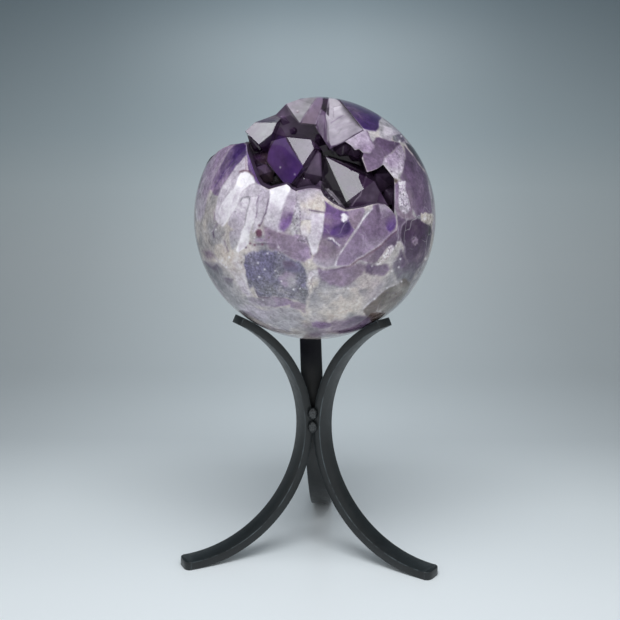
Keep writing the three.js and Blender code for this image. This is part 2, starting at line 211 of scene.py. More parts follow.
# The rolled bars: how many steps an arc has and how the corners of a foot are rounded.
BAR_STEPS = 64
FOOT_ROUNDING = 5 * MM
# A weld bead before it is stretched, and how far its middle stands out from the stand's axis, in mm.
BEAD_RADIUS = 3
BEAD_REACH = 11

# The refractive index of quartz.
QUARTZ_IOR = 1.544
# Quartz where no crystal or polish covers it, as screen colours.
HOLLOW_WALL_COLOUR = (92, 76, 100)
BROKEN_FACE_COLOUR = (140, 126, 146)

# The sweep of paper, in metres: where it starts, where its flat part ends, its bend, its top and half its
# width.
SWEEP_FRONT, SWEEP_FLAT_END, SWEEP_BEND, SWEEP_TOP, SWEEP_SIDE = -1.6, 0.5, 0.55, 3.2, 3

# The lights: offset from the ball's centre, and width and depth, in metres.
KEY_OFFSET, KEY_SIZE = (0.0, -0.48, 0.95), (0.9, 0.5)
FRONT_OFFSET, FRONT_SIZE = (0.0, -1.1, -0.12), (1.4, 0.5)


# ---------------------------------------------------------------------------------------------- making


def from_ball(right, front, up):
    """A place given as right, front and up from the ball's centre in mm."""
    return BALL_CENTRE + Vector((right, -front, up)) * MM


def nothing_selected():
    """Leaves edit mode and selects nothing."""
    if bpy.context.object and bpy.context.object.mode != "OBJECT":
        bpy.ops.object.mode_set(mode="OBJECT")
    bpy.ops.object.select_all(action="DESELECT")


def only(piece):
    """Selects one piece alone and makes it the active one."""
    nothing_selected()
    piece.select_set(True)
    bpy.context.view_layer.objects.active = piece


def added(name):
    """Names what a primitive operator has just added and puts its place into its mesh."""
    piece = bpy.context.object
    piece.name = name
    piece.data.name = name
    bpy.ops.object.transform_apply(location=True, rotation=True, scale=True)
    return piece


def corners_of(piece):
    """The piece's corners as an array."""
    flat = np.empty(3 * len(piece.data.vertices), dtype=np.float32)
    piece.data.vertices.foreach_get("co", flat)
    return flat.reshape(-1, 3).astype(float)


def move_corners(piece, places):
    """Puts the piece's corners at new places."""
    piece.data.vertices.foreach_set("co", np.asarray(places, dtype=np.float32).ravel())
    piece.data.update()


def face_outwards(piece):
    """Joins doubled corners and turns every face outwards."""
    only(piece)
    bpy.ops.object.mode_set(mode="EDIT")
    bpy.ops.mesh.select_all(action="SELECT")
    bpy.ops.mesh.remove_doubles(threshold=1e-6)
    bpy.ops.mesh.normals_make_consistent(inside=False)
    bpy.ops.object.mode_set(mode="OBJECT")


def use_modifier(piece, kind, **settings):
    """Adds a modifier, sets it and applies it."""
    only(piece)
    modifier = piece.modifiers.new(kind.title(), kind)
    for key, value in settings.items():
        setattr(modifier, key, value)
    bpy.ops.object.modifier_apply(modifier=modifier.name)


def cut(piece, tool, operation):
    """A clean join or cut of a piece by another, whose own material goes onto the faces that it leaves."""
    only(piece)
    modifier = piece.modifiers.new("Cut", "BOOLEAN")
    modifier.object = tool
    modifier.operation = operation
    modifier.solver = "MANIFOLD"
    modifier.material_mode = "TRANSFER"
    bpy.ops.object.modifier_apply(modifier=modifier.name)
    if not len(piece.data.polygons):
        raise RuntimeError(f"nothing is left of {piece.name} after its cut by {tool.name}")
    bpy.data.objects.remove(tool, do_unlink=True)


def middles_of(piece):
    """The middles of the piece's faces as an array."""
    flat = np.empty(3 * len(piece.data.polygons), dtype=np.float32)
    piece.data.polygons.foreach_get("center", flat)
    return flat.reshape(-1, 3)


def edit_only(parts, kind, chosen):
    """Enters edit mode with only the chosen ones of the active piece's faces or edges selected."""
    bpy.ops.object.mode_set(mode="EDIT")
    bpy.ops.mesh.select_mode(type=kind)
    bpy.ops.mesh.select_all(action="DESELECT")
    bpy.ops.object.mode_set(mode="OBJECT")
    parts.foreach_set("select", chosen)
    bpy.ops.object.mode_set(mode="EDIT")


def smooth_by_angle(piece, degrees):
    """Smooths the piece over edges flatter than an angle."""
    only(piece)
    bpy.ops.object.shade_smooth_by_angle(angle=math.radians(degrees))


def drawn_out(name, rings, material):
    """A closed solid through rings of equally many corners, each ring drawn out from the one before it."""
    count = len(rings[0])
    nothing_selected()
    bpy.ops.mesh.primitive_circle_add(vertices=count, radius=0.05, fill_type="NGON")
    piece = added(name)
    for vertex, place in zip(piece.data.vertices, rings[0]):
        vertex.co = place
    for ring in rings[1:]:
        bpy.ops.object.mode_set(mode="EDIT")
        step = {"value": (0, 0.001, 0)}
        bpy.ops.mesh.extrude_region_move(TRANSFORM_OT_translate=step)
        bpy.ops.object.mode_set(mode="OBJECT")
        new = list(piece.data.vertices)[-count:]
        for vertex, place in zip(new, ring):
            vertex.co = place
    face_outwards(piece)
    piece.data.materials.append(material)
    return piece


def outline_prism(name, outline, near, far, material):
    """A front-view outline in mm drawn out from one distance in front of the ball's centre to another."""
    rings = [[from_ball(right, front, up) for right, up in outline] for front in (near, far)]
    return drawn_out(name, rings, material)


def inset(outline, distance):
    """An anticlockwise outline moved inwards by a distance, corner by corner."""
    corners = [Vector(corner) for corner in outline]
    moved = []
    for i, corner in enumerate(corners):
        before = (corner - corners[i - 1]).normalized()
        after = (corners[(i + 1) % len(corners)] - corner).normalized()
        before, after = Vector((-before.y, before.x)), Vector((-after.y, after.x))
        middle = (before + after).normalized()
        moved.append(corner + middle * (distance / max(0.4, middle.dot(before))))
    return moved


def shoulder_tool(material):
    """What is broken off the ball's left shoulder, as rings from its front to its back."""

    def ring(front, column=None):
        """The corners at one distance in front of the ball's centre, moved by a column of their drops."""
        places = []
        for (right, up), drops in SHOULDER:
            drop = 0 if column is None else drops[column]
            places.append(from_ball(right + BREAK_DROP[0] * drop, front, up + BREAK_DROP[1] * drop))
        return places

    rings = [ring(FRONT_REACH), ring(BREAK_FRONT), ring(BREAK_BACK[0], 0), ring(BREAK_BACK[1], 1)]
    return drawn_out("shoulder_tool", rings, material)


# ---------------------------------------------------------------------------------------------- colour


def noise(points, size, seed):
    """Smooth noise from 0 to 1 over places in mm, with lumps of a given size."""
    cell = np.asarray(points) / size + seed * 17.13
    base = np.floor(cell).astype(np.int64)
    part = cell - base
    part = part * part * (3 - 2 * part)
    total = np.zeros(len(cell))
    for dx in (0, 1):
        for dy in (0, 1):
            for dz in (0, 1):
                key = (base[:, 0] + dx) * 73856093 ^ (base[:, 1] + dy) * 19349663 ^ (base[:, 2] + dz) * 83492791
                key = (key ^ seed * 2654435761) & 0xFFFFFFFF
                key = (key ^ (key >> 15)) * 2246822519 & 0xFFFFFFFF
                key = (key ^ (key >> 13)) * 3266489917 & 0xFFFFFFFF
                value = (key ^ (key >> 16)) / 0xFFFFFFFF
                weight = np.abs(1 - dx - part[:, 0]) * np.abs(1 - dy - part[:, 1]) * np.abs(1 - dz - part[:, 2])
                total += weight * value
    return total


def cloud(points, size, seed):
    """Noise of three sizes together, from about -1 to 1."""
    return sum(
        (noise(points, size / 2**octave, seed + octave) * 2 - 1) * strength
        for octave, strength in enumerate((0.6, 0.3, 0.18))
    )


def eased(value):
    """A value held between 0 and 1, with a soft start and end."""
    value = np.clip(value, 0, 1)
    return value * value * (3 - 2 * value)


def distance_to(outline, x, y, closed=True):
    """Distance in dots to a line, negative inside it where it is closed."""
    best = np.full(len(x), 1e9)
    inside = np.zeros(len(x), dtype=bool)
    ends = list(zip(outline, outline[1:] + outline[:1])) if closed else list(zip(outline, outline[1:]))
    for (ax, ay), (bx, by) in ends:
        dx, dy = bx - ax, by - ay
        along = np.clip(((x - ax) * dx + (y - ay) * dy) / (dx * dx + dy * dy), 0, 1)
        best = np.minimum(best, np.hypot(x - ax - along * dx, y - ay - along * dy))
        if closed and ay != by:
            inside ^= ((ay > y) != (by > y)) & (x < ax + (y - ay) / dy * dx)
    return np.where(inside, -best, best)


def to_linear(colour):
    """Screen colours of 0 to 255 as linear light."""
    colour = np.clip(np.asarray(colour, dtype=float) / 255, 0, 1)
    return np.where(colour < 0.04045, colour / 12.92, ((colour + 0.055) / 1.055) ** 2.4)


def colour_value(red, green, blue):
    """A screen colour of 0 to 255 as a shader's colour."""
    return (*(float(value) for value in to_linear((red, green, blue))), 1.0)


# ---------------------------------------------------------------------------------------------- nodes


def new_material(name):
    """A material with only its shader, and that shader."""
    material = bpy.data.materials.new(name)
    material.use_nodes = True
    return material, material.node_tree, material.node_tree.nodes["Principled BSDF"]


def node(tree, kind, values=None, **settings):
    """A node with its settings and the values of its sockets."""
    made = tree.nodes.new(kind)
    for key, value in settings.items():
        setattr(made, key, value)
    for key, value in (values or {}).items():
        made.inputs[key].default_value = value
    return made


def link(tree, source, target):
    """Joins two sockets."""
    tree.links.new(source, target)


def mixed(tree, kind, factor, first, second):
    """A colour mix. Each of factor, first and second is a socket or a plain value."""
    made = node(tree, "ShaderNodeMix", data_type="RGBA", blend_type=kind)
    for key, value in ((0, factor), (6, first), (7, second)):
        if isinstance(value, bpy.types.NodeSocket):
            link(tree, value, made.inputs[key])
        else:
            made.inputs[key].default_value = value
    return made.outputs[2]


def ramped(tree, source, stops):
    """A ramp over a value. stops are places and grey values or colours."""
    made = node(tree, "ShaderNodeValToRGB")
    elements = made.color_ramp.elements
    while len(elements) < len(stops):
        elements.new(0.5)
    for element, (place, value) in zip(elements, stops):
        element.position = place
        element.color = value if isinstance(value, tuple) else (value, value, value, 1)
    link(tree, source, made.inputs["Fac"])
    return made.outputs["Color"]


def own_places(tree):
    """The piece's own coordinates."""
    return node(tree, "ShaderNodeTexCoord").outputs["Object"]


def bumped(tree, shader, height, distance, strength=1.0):
    """Raises the surface a little where a value is high."""
    made = node(tree, "ShaderNodeBump", {"Distance": distance, "Strength": strength})
    link(tree, height, made.inputs["Height"])
    link(tree, made.outputs["Normal"], shader.inputs["Normal"])


def noise_texture(tree, places, scale, detail=3.0, roughness=0.55, distortion=0.0):
    """Noise over places."""
    values = {"Scale": scale, "Detail": detail, "Roughness": roughness, "Distortion": distortion}
    made = node(tree, "ShaderNodeTexNoise", values)
    link(tree, places, made.inputs["Vector"])
    return made.outputs["Fac"]


def worn_and_highlit_edge_material(settings):
    """The bars' edges: a painted highlight along each edge, broken into paler patches that also stand for
    rubbed wear.
    """
    material, tree, shader = new_material("worn_and_highlit_edge")
    places = own_places(tree)
    rubbed = noise_texture(tree, places, 75, 5, 0.7)
    dark = tuple(value * 1.6 for value in settings.iron_colour) + (1,)
    pale = tuple(value * 12 for value in settings.iron_colour) + (1,)
    amount = ramped(tree, rubbed, [(0.42, 0.0), (0.66, 1.0)])
    link(tree, mixed(tree, "MIX", amount, dark, pale), shader.inputs["Base Color"])
    shader.inputs["Roughness"].default_value = 0.32
    return material


def times(tree, first, second):
    """The product of two sockets or plain values."""
    made = node(tree, "ShaderNodeMath", operation="MULTIPLY")
    for key, value in ((0, first), (1, second)):
        if isinstance(value, bpy.types.NodeSocket):
            link(tree, value, made.inputs[key])
        else:
            made.inputs[key].default_value = value
    return made.outputs["Value"]


def bent_places(tree, places):
    """Places shifted by noise, so that straight patterns bend."""
    shift = node(tree, "ShaderNodeTexNoise", {"Scale": 70, "Detail": 2})
    link(tree, places, shift.inputs["Vector"])
    scaled = node(tree, "ShaderNodeVectorMath", {"Scale": 0.014}, operation="SCALE")
    link(tree, shift.outputs["Color"], scaled.inputs[0])
    total = node(tree, "ShaderNodeVectorMath", operation="ADD")
    link(tree, places, total.inputs[0])
    link(tree, scaled.outputs["Vector"], total.inputs[1])
    return total.outputs["Vector"]


def iron_material(settings):
    """Black blacksmith's iron: satin, mottled, a little paler where it is worn."""
    material, tree, shader = new_material("black_iron")
    places = own_places(tree)
    mottle = noise_texture(tree, places, 60, 5, 0.6)
    worn = noise_texture(tree, places, 240, 4, 0.65)
    dark = tuple(settings.iron_colour) + (1,)
    pale = tuple(value * 1.8 for value in settings.iron_colour) + (1,)
    amount = ramped(tree, mottle, [(0.35, 0.0), (0.75, 1.0)])
    link(tree, mixed(tree, "MIX", amount, dark, pale), shader.inputs["Base Color"])
    link(tree, ramped(tree, worn, [(0.3, 0.28), (0.75, 0.46)]), shader.inputs["Roughness"])
    shader.inputs["Metallic"].default_value = 0.0
    shader.inputs["Specular IOR Level"].default_value = 0.5
    bumped(tree, shader, worn, 0.0002, 0.5)
    return material


def polish_material():
    """The ball's polish: the painted bands and markings, with painted glints, edge highlights and rim
    reflections among them, hairline cracks, druse that glitters and a glassy gloss.
    """
    material, tree, shader = new_material("polished_amethyst")
    places = own_places(tree)
    paint = node(tree, "ShaderNodeAttribute", attribute_name="paint").outputs["Color"]
    druse = node(tree, "ShaderNodeAttribute", attribute_name="druse").outputs["Fac"]
    veils = noise_texture(tree, places, 120, 5, 0.65, 1.2)
    grain = noise_texture(tree, places, 480, 6, 0.75)
    bent = bent_places(tree, places)
    colour = mixed(tree, "OVERLAY", 0.34, paint, ramped(tree, veils, [(0.32, 0.2), (0.68, 0.74)]))
    colour = mixed(tree, "OVERLAY", 0.42, colour, ramped(tree, grain, [(0.34, 0.15), (0.68, 0.85)]))
    planes = node(tree, "ShaderNodeTexVoronoi", {"Scale": 105, "Randomness": 1})
    link(tree, bent, planes.inputs["Vector"])
    tone = ramped(tree, planes.outputs["Color"], [(0.15, 0.32), (0.85, 0.66)])
    colour = mixed(tree, "OVERLAY", 0.28, colour, tone)
    cracks = node(tree, "ShaderNodeTexVoronoi", {"Scale": 48, "Randomness": 1}, feature="DISTANCE_TO_EDGE")
    link(tree, bent, cracks.inputs["Vector"])
    hair = ramped(tree, cracks.outputs["Distance"], [(0.0, 1.0), (0.02, 0.0)])
    patchy = ramped(tree, noise_texture(tree, places, 34, 2), [(0.52, 0.0), (0.66, 0.28)])
    colour = mixed(tree, "MIX", times(tree, hair, patchy), colour, colour_value(*TINTS["snow"]))
    seams = node(tree, "ShaderNodeTexVoronoi", {"Scale": 92, "Randomness": 1}, feature="DISTANCE_TO_EDGE")
    link(tree, bent, seams.inputs["Vector"])
    thin = ramped(tree, seams.outputs["Distance"], [(0.0, 1.0), (0.045, 0.0)])
    where = ramped(tree, noise_texture(tree, places, 41, 3), [(0.5, 0.0), (0.68, 0.45)])
    colour = mixed(tree, "MIX", times(tree, thin, where), colour, colour_value(*TINTS["plum"]))
    cells = node(tree, "ShaderNodeTexVoronoi", {"Scale": 780, "Randomness": 1})
    link(tree, places, cells.inputs["Vector"])
    flecks = ramped(tree, cells.outputs["Color"], [(0.2, 0.18), (0.5, 0.5), (0.85, 0.85)])
    colour = mixed(tree, "OVERLAY", times(tree, druse, 0.7), colour, flecks)
    link(tree, colour, shader.inputs["Base Color"])
    link(tree, ramped(tree, druse, [(0.0, 0.06), (1.0, 0.3)]), shader.inputs["Roughness"])
    shader.inputs["IOR"].default_value = QUARTZ_IOR
    relief = node(tree, "ShaderNodeBump", {"Distance": 0.0006})
    link(tree, cells.outputs["Distance"], relief.inputs["Height"])
    link(tree, times(tree, druse, 0.6), relief.inputs["Strength"])
    link(tree, relief.outputs["Normal"], shader.inputs["Normal"])
    return material


def wall_material(name, colour):
    """Quartz in the hollow's walls or on the broken shoulder."""
    material, tree, shader = new_material(name)
    places = own_places(tree)
    lumps = noise_texture(tree, places, 180, 4, 0.6)
    amount = ramped(tree, lumps, [(0.3, 0.0), (0.7, 1.0)])
    deep = colour_value(*(value * 0.62 for value in colour))
    base = mixed(tree, "MIX", amount, colour_value(*colour), deep)
    link(tree, base, shader.inputs["Base Color"])
    shader.inputs["Roughness"].default_value = 0.3
    shader.inputs["IOR"].default_value = QUARTZ_IOR
    bumped(tree, shader, lumps, 0.0012, 0.6)
    return material


def crystal_material(name, transmission):
    """Clear amethyst of the hollow: painted tints, with painted shade, shadow, reflection and highlights among
    them, see-through in part, with a glassy face.
    """
    material, tree, shader = new_material(name)
    places = own_places(tree)
    paint = node(tree, "ShaderNodeAttribute", attribute_name="paint").outputs["Color"]
    veils = noise_texture(tree, places, 260, 4, 0.6)
    colour = mixed(tree, "OVERLAY", 0.2, paint, ramped(tree, veils, [(0.3, 0.3), (0.7, 0.7)]))
    link(tree, colour, shader.inputs["Base Color"])
    shader.inputs["Roughness"].default_value = 0.05
    shader.inputs["IOR"].default_value = QUARTZ_IOR
    shader.inputs["Transmission Weight"].default_value = transmission
    absorption = node(tree, "ShaderNodeVolumeAbsorption", {"Color": (0.62, 0.4, 0.78, 1), "Density": 35})
    link(tree, absorption.outputs["Volume"], tree.nodes["Material Output"].inputs["Volume"])
    return material


# ---------------------------------------------------------------------------------------------- painting

# Tints of the mineral, as screen colours.
TINTS = {
    "snow": (236, 232, 238), "pearl": (206, 198, 208), "cream": (200, 190, 184), "mist": (178, 168, 182),
    "ash": (158, 154, 160), "lilac": (144, 124, 152), "mauve": (130, 112, 130), "heather": (116, 96, 124),
    "violet": (102, 72, 128), "iris": (80, 50, 116), "ink": (50, 28, 80), "storm": (108, 102, 132),
    "plum": (86, 68, 94), "aubergine": (60, 38, 68), "slate": (118, 116, 124), "olive": (124, 120, 114),
    "umber": (88, 74, 70), "wine": (92, 58, 76), "soot": (36, 30, 38),
}
# Markings of the polish, drawn over one another: the two tints that each blends between, the way the blend
# runs in degrees (0 right, 90 down), how soft its edge is, how far that edge wobbles and how much of it is
# druse where these aren't the usual, and its outline in dots of the picture.
POLISH_MARKS = {
    "left_field": ("lilac", "mist", 110, {"soft": 1.5, "wobble": 0.5}, [
        (196, 190), (199, 178), (203, 169.5), (207, 163.5), (213, 156), (220.5, 148.5), (228.5, 145.5),
        (236, 143.5), (229, 151), (222, 162), (215.5, 174), (210, 188), (206, 200), (204, 212), (201, 222),
        (196.5, 219), (194.5, 205),
    ]),
    "deep_violet_band": ("ink", "lilac", 124, {"soft": 1.2, "wobble": 0.6}, [
        (236, 144), (243.5, 142), (246.5, 144), (246, 154.5), (241, 160.5), (236, 167), (231, 174),
        (228.5, 178.5), (224, 184), (220.5, 189.5), (218.5, 195.5), (213, 193.5), (209.5, 188.5),
        (215, 174.5), (222, 163), (228.5, 152),
    ]),
    "grey_strip": ("mist", "pearl", 120, {"soft": 0.8, "wobble": 0.3}, [
        (246.5, 157.5), (247.5, 170.5), (243, 170.5), (239.5, 171.5), (236.5, 182), (233, 188.5),
        (227.5, 195.5), (226, 203), (221.5, 210), (219, 216), (217.5, 222), (214.5, 219), (215.5, 210),
        (217.5, 200), (220, 190.5), (224.5, 184), (228.5, 178.5), (232, 172.5), (236, 166.5), (241, 161),
    ]),
    "rim_facet": ("iris", "violet", 80, {"soft": 0.7}, [
        (246.5, 151), (251, 151.5), (253.5, 158), (256, 164.5), (258, 171), (259.5, 177), (261, 185),
        (258.5, 185.5), (255, 181), (252.5, 176), (249, 172), (247.5, 163),
    ]),
    "white_prism": ("snow", "pearl", 120, {"soft": 0.8}, [
        (240.5, 172.5), (245, 172), (249, 173), (253.5, 176.5), (255, 183), (250, 185), (245, 189),
        (241.5, 192.5), (239, 196.5), (236.5, 202), (233.5, 208.5), (230.5, 214.5), (227.5, 219.5),
        (225.5, 223.5), (222, 227), (219, 224), (217, 222), (218.5, 216), (219.5, 212), (222, 204),
        (224, 200.5), (226.5, 196.5), (229.5, 192.5), (233, 189), (235, 186), (236.5, 182), (238, 176.5),
    ]),
    "shelf": ("pearl", "mist", 0, {"soft": 0.8}, [
        (255, 183), (260, 184.5), (264, 187.5), (268.5, 190), (267, 192), (258.5, 196.5), (253, 196.5),
        (249.5, 197), (243.5, 197.5), (240.5, 201), (239, 196.5), (242, 192), (245, 189), (250, 185),
    ]),
    "second_prism": ("pearl", "mist", 80, {"soft": 0.7}, [
        (239, 197), (240.5, 201), (243.5, 198), (249, 198), (249, 204), (246, 212.5), (244, 225.5),
        (241.5, 227), (237, 229), (234, 230), (230.5, 227.5), (227, 224), (230.5, 215), (233.5, 208.5),
        (236.5, 202),
    ]),
    "third_prism": ("pearl", "snow", 100, {"soft": 0.8}, [
        (250, 197.5), (258.5, 196), (257, 204), (257.5, 210), (256, 216.5), (253, 224), (250, 231),
        (249, 236), (248.5, 243.5), (244.5, 248.5), (238.5, 252.5), (236, 250.5), (238, 244), (239.5, 238),
        (240.5, 231), (244.5, 225.5), (246.5, 213), (249.5, 204),
    ]),
    "bright_facet": ("snow", "pearl", 90, {"soft": 0.8}, [
        (240.5, 234.5), (245, 232), (248.5, 234.5), (248.5, 243), (243, 248.5), (238.5, 252), (238.5, 246),
        (240, 239),
    ]),
    "grey_facet": ("mist", "ash", 100, {"soft": 0.8}, [
        (229.5, 231.5), (234, 230), (241.5, 227), (243.5, 227), (240.5, 232), (239.5, 238), (237.5, 244.5),
        (233, 249.5), (231, 245), (229.5, 238),
    ]),
    "fourth_prism": ("mist", "pearl", 100, {"soft": 0.8}, [
        (258.5, 196), (268, 190.5), (270, 194), (267, 204), (265.5, 213), (263, 218.5), (260.5, 224),
        (257, 229), (252.5, 233.5), (251.5, 230.5), (254, 224), (256.5, 217), (257.5, 210), (257, 204),
    ]),
    "block": ("snow", "mist", 80, {"soft": 0.9}, [
        (268, 190.5), (275.5, 187.5), (281, 186), (286.5, 184.5), (291, 188.5), (296, 191), (296, 196),
        (295.5, 203), (293.5, 212), (291.5, 221), (286, 230), (278, 233), (270, 231.5), (264.5, 226),
        (264, 218.5), (265.5, 213), (267.5, 204), (270, 194),
    ]),
    "block_side": ("mist", "lilac", 90, {"soft": 1, "wobble": 0.3}, [
        (288.5, 193.5), (291, 189), (296, 191), (296, 196), (295.5, 203), (293, 213), (290.5, 221),
        (286.5, 227), (281.5, 226), (281, 213), (283.5, 204), (286.5, 198),
    ]),
    "block_top": ("snow", "snow", 0, {"soft": 0.7}, [
        (268, 190.5), (275.5, 187.5), (281, 186), (286.5, 184.5), (290.5, 188), (289, 192), (285, 193.5),
        (279, 191.5), (273, 192.5),
    ]),
    "stain": ("lilac", "violet", 60, {"soft": 2.5, "wobble": 1.2}, [
        (283, 212), (288, 211), (293.5, 212.5), (293, 220), (289, 228), (283.5, 231), (280, 228),
        (280, 219),
    ]),
    "lens": ("lilac", "mauve", 0, {"soft": 0.7}, [
        (297.5, 192), (300, 190), (304.5, 189), (309, 188), (314, 188), (318, 188.5), (321, 189.5),
        (322.5, 193), (318, 191), (312, 190), (306, 191), (300, 193),
    ]),
    "under_lens": ("mist", "cream", 70, {"soft": 1, "wobble": 0.7}, [
        (297.5, 193), (303, 191.5), (309, 190.5), (315, 190.5), (320, 192), (323.5, 195), (324, 202),
        (324.5, 211.5), (316, 211), (311, 210), (304, 208), (299, 206), (297, 199),
    ]),
    "speck_column": ("mist", "ash", 90, {"soft": 1.2, "wobble": 1, "druse": 0.6}, [
        (293.5, 213), (296.5, 203), (297, 197), (300, 204), (301, 212), (301, 221), (300, 232), (296, 236),
        (291.5, 235), (290, 229), (292, 220),
    ]),
    "cream_upper": ("cream", "mist", 90, {"soft": 0.8, "wobble": 0.4}, [
        (300.5, 205), (305, 207.5), (311, 209.5), (310.5, 214), (311, 220.5), (304, 221), (301, 220),
    ]),
    "cream_block": ("cream", "pearl", 90, {"soft": 0.8, "wobble": 0.4}, [
        (300.5, 221), (305, 220.5), (311, 220.5), (311.5, 226), (310.5, 232.5), (306.5, 236.5),
        (301.5, 235), (300, 228),
    ]),
    "wedge": ("pearl", "pearl", 100, {"soft": 0.8}, [
        (311, 212.5), (318, 213.5), (324, 214), (323.5, 221), (322.5, 229.5), (321, 237), (319.5, 242),
        (317.5, 246), (317, 250.5), (316, 254), (312.5, 255), (311, 251), (309, 246), (308, 241),
        (306.5, 237.5), (310.5, 233), (311.5, 226), (310.5, 219),
    ]),
    "violet_crystal": ("violet", "mauve", 110, {"soft": 0.9}, [
        (325, 212), (326, 207), (324.5, 201), (328, 203.5), (333, 206.5), (339, 209), (345, 211.5),
        (347, 210.5), (349.5, 215), (349.5, 222), (352, 226.5), (354.5, 229.5), (350, 237), (345, 244.5),
        (342, 249.5), (339, 253), (330, 256.5), (322, 252), (318, 248), (319.5, 242), (321, 237),
        (322.5, 229.5), (324, 214.5),
    ]),
    "violet_heart": ("ink", "iris", 150, {"soft": 2}, [
        (341, 222.5), (345, 219.5), (350, 222), (351.5, 227), (350, 232), (344, 237), (336, 238),
        (329, 235), (332, 228),
    ]),
    # A painted glint: a bright star of light over druse on the violet crystal.
    "painted_glint_star": ("snow", "pearl", 0, {"soft": 0.9, "wobble": 0.8, "druse": 0.8}, [
        (341.5, 214), (344.5, 212.5), (348, 214.5), (350, 217.5), (347.5, 220.5), (344, 222), (341, 219.5),
        (342.5, 217),
    ]),
    "violet_fade": ("mauve", "mist", 90, {"soft": 2}, [
        (316.5, 252), (319, 249), (324, 252.5), (331, 256), (339, 253.5), (337.5, 258), (336, 265),
        (327, 267.5), (318, 266), (312.5, 261), (313.5, 256),
    ]),
    "grey_face": ("lilac", "mauve", 120, {"soft": 0.8}, [
        (347.5, 211), (355, 209), (363.5, 207.5), (366, 213), (367, 215.5), (361, 222.5), (355.5, 229.5),
        (352.5, 226.5), (350, 222), (349.5, 215),
    ]),
    "leaf": ("heather", "lilac", 120, {"soft": 0.8}, [
        (335.5, 266), (336.5, 260.5), (339.5, 254), (343, 249), (347.5, 242.5), (352, 236.5), (356.5, 229),
        (363, 219.5), (368, 212.5), (371.5, 209), (373.5, 205), (378, 203.5), (385, 204.5), (392, 210.5),
        (395.5, 215.5), (396.5, 223.5), (395.5, 230.5), (389, 236), (385, 240.5), (381, 243.5),
        (377.5, 247.5), (373.5, 249.5), (369, 252), (364.5, 255), (361, 256.5), (357.5, 258), (353.5, 262),
        (349, 265), (342, 266.5),
    ]),
    "leaf_sliver": ("ash", "mist", 120, {"soft": 0.6}, [
        (364.5, 212.5), (366, 211.5), (372, 208.5), (367.5, 215.5), (362, 222), (357.5, 228.5), (362, 219),
    ]),
    "leaf_streak": ("plum", "heather", 90, {"soft": 0.7}, [
        (375, 205), (378, 205), (380, 210), (381.5, 215.5), (380, 220.5), (377.5, 222), (377.5, 214),
    ]),
    "leaf_top": ("mist", "lilac", 60, {"soft": 0.7}, [
        (379, 205), (385, 205), (391.5, 211), (385, 215.5), (381.5, 216.5), (380, 210),
    ]),
    "violet_corner": ("heather", "iris", 50, {"soft": 1}, [
        (385, 218.5), (389.5, 215.5), (393.5, 213.5), (395.5, 217), (396, 223), (394, 229), (390.5, 232),
        (387.5, 230), (385.5, 224),
    ]),
    "right_band": ("plum", "heather", 80, {"soft": 1.5}, [
        (405, 145), (412, 150), (419, 160), (426, 172), (430, 185), (432.5, 200), (433.5, 213), (425, 214),
        (417, 217), (411, 205), (408, 192), (404, 182), (400, 178), (403, 169), (405, 158),
    ]),
    "bar_frame": ("heather", "mauve", 90, {"soft": 0.8}, [
        (394.5, 184), (398, 181.5), (405.5, 180), (409, 184), (412, 195), (413, 205), (412, 214),
        (416.5, 219), (410, 219.5), (401.5, 218.5), (397, 214), (394.5, 208),
    ]),
    "druzy_bar": ("pearl", "mist", 90, {"soft": 0.7, "wobble": 0.6, "druse": 1}, [
        (398.5, 182), (402, 181), (405, 180.5), (406, 186), (406, 190.5), (407.5, 195), (409, 200.5),
        (410, 205), (410, 209.5), (408.5, 212), (406, 214), (403, 213.5), (400.5, 211), (398.5, 208),
        (398, 205), (398.5, 197), (398.5, 190.5),
    ]),
    "brown_speck": ("umber", "umber", 0, {"soft": 0.8}, [
        (393.5, 178.5), (396, 178), (398, 180.5), (396.5, 183), (394.5, 182),
    ]),
    "lilac_wedge": ("lilac", "pearl", 95, {"soft": 0.9, "wobble": 0.7, "druse": 0.4}, [
        (383, 163.5), (384.5, 157.5), (388, 154.5), (391.5, 153), (396, 148.5), (400.5, 144.5), (403, 146),
        (404.5, 152), (404.5, 159), (403.5, 164.5), (402, 169.5), (400.5, 173), (399, 175), (397.5, 179),
        (395, 177.5), (392, 175), (387, 169),
    ]),
    "black_crescent": ("soot", "plum", 60, {"soft": 0.7}, [
        (405, 142.5), (409.5, 144.5), (413, 147.5), (418, 154), (421.5, 159.5), (424.5, 167), (427, 174),
        (421.5, 166.5), (416.5, 160), (412, 153.5), (408.5, 148.5),
    ]),
    # Painted reflection of the pale backdrop along the ball's right rim.
    "painted_rim_reflection": ("ash", "mist", 90, {"soft": 1}, [
        (427.5, 174), (430.5, 183), (433, 195), (435, 210), (435, 222), (434.5, 236), (432, 230),
        (432.5, 215), (431, 200), (428.5, 187),
    ]),
    "dark_slab": ("aubergine", "plum", 60, {"soft": 1, "wobble": 0.8}, [
        (407.5, 219.5), (417, 218.5), (424, 221.5), (429.5, 225), (431.5, 232), (430, 242), (427.5, 252),
        (422, 262), (414, 268), (407, 262), (404.5, 253), (404.5, 247.5), (401.5, 241.5), (400, 234.5),
        (402, 226),
    ]),
    "slab_druse": ("heather", "mauve", 60, {"soft": 1, "wobble": 0.8, "druse": 1}, [
        (411.5, 237), (415, 236), (418.5, 239), (419, 244), (415, 246), (411.5, 243),
    ]),
    "cream_blob": ("cream", "cream", 0, {"soft": 1, "wobble": 1, "druse": 0.8}, [
        (421, 214), (427, 213), (432.5, 213.5), (433.5, 219), (431, 223.5), (425, 224), (421.5, 221),
    ]),
    "dark_channel": ("plum", "heather", 90, {"soft": 0.9}, [
        (397, 214), (401.5, 218), (407, 219), (402, 225.5), (400, 234), (401, 241), (398, 240),
        (396.5, 231), (397, 223),
    ]),
    "under_leaf": ("plum", "mauve", 140, {"soft": 1, "wobble": 0.5}, [
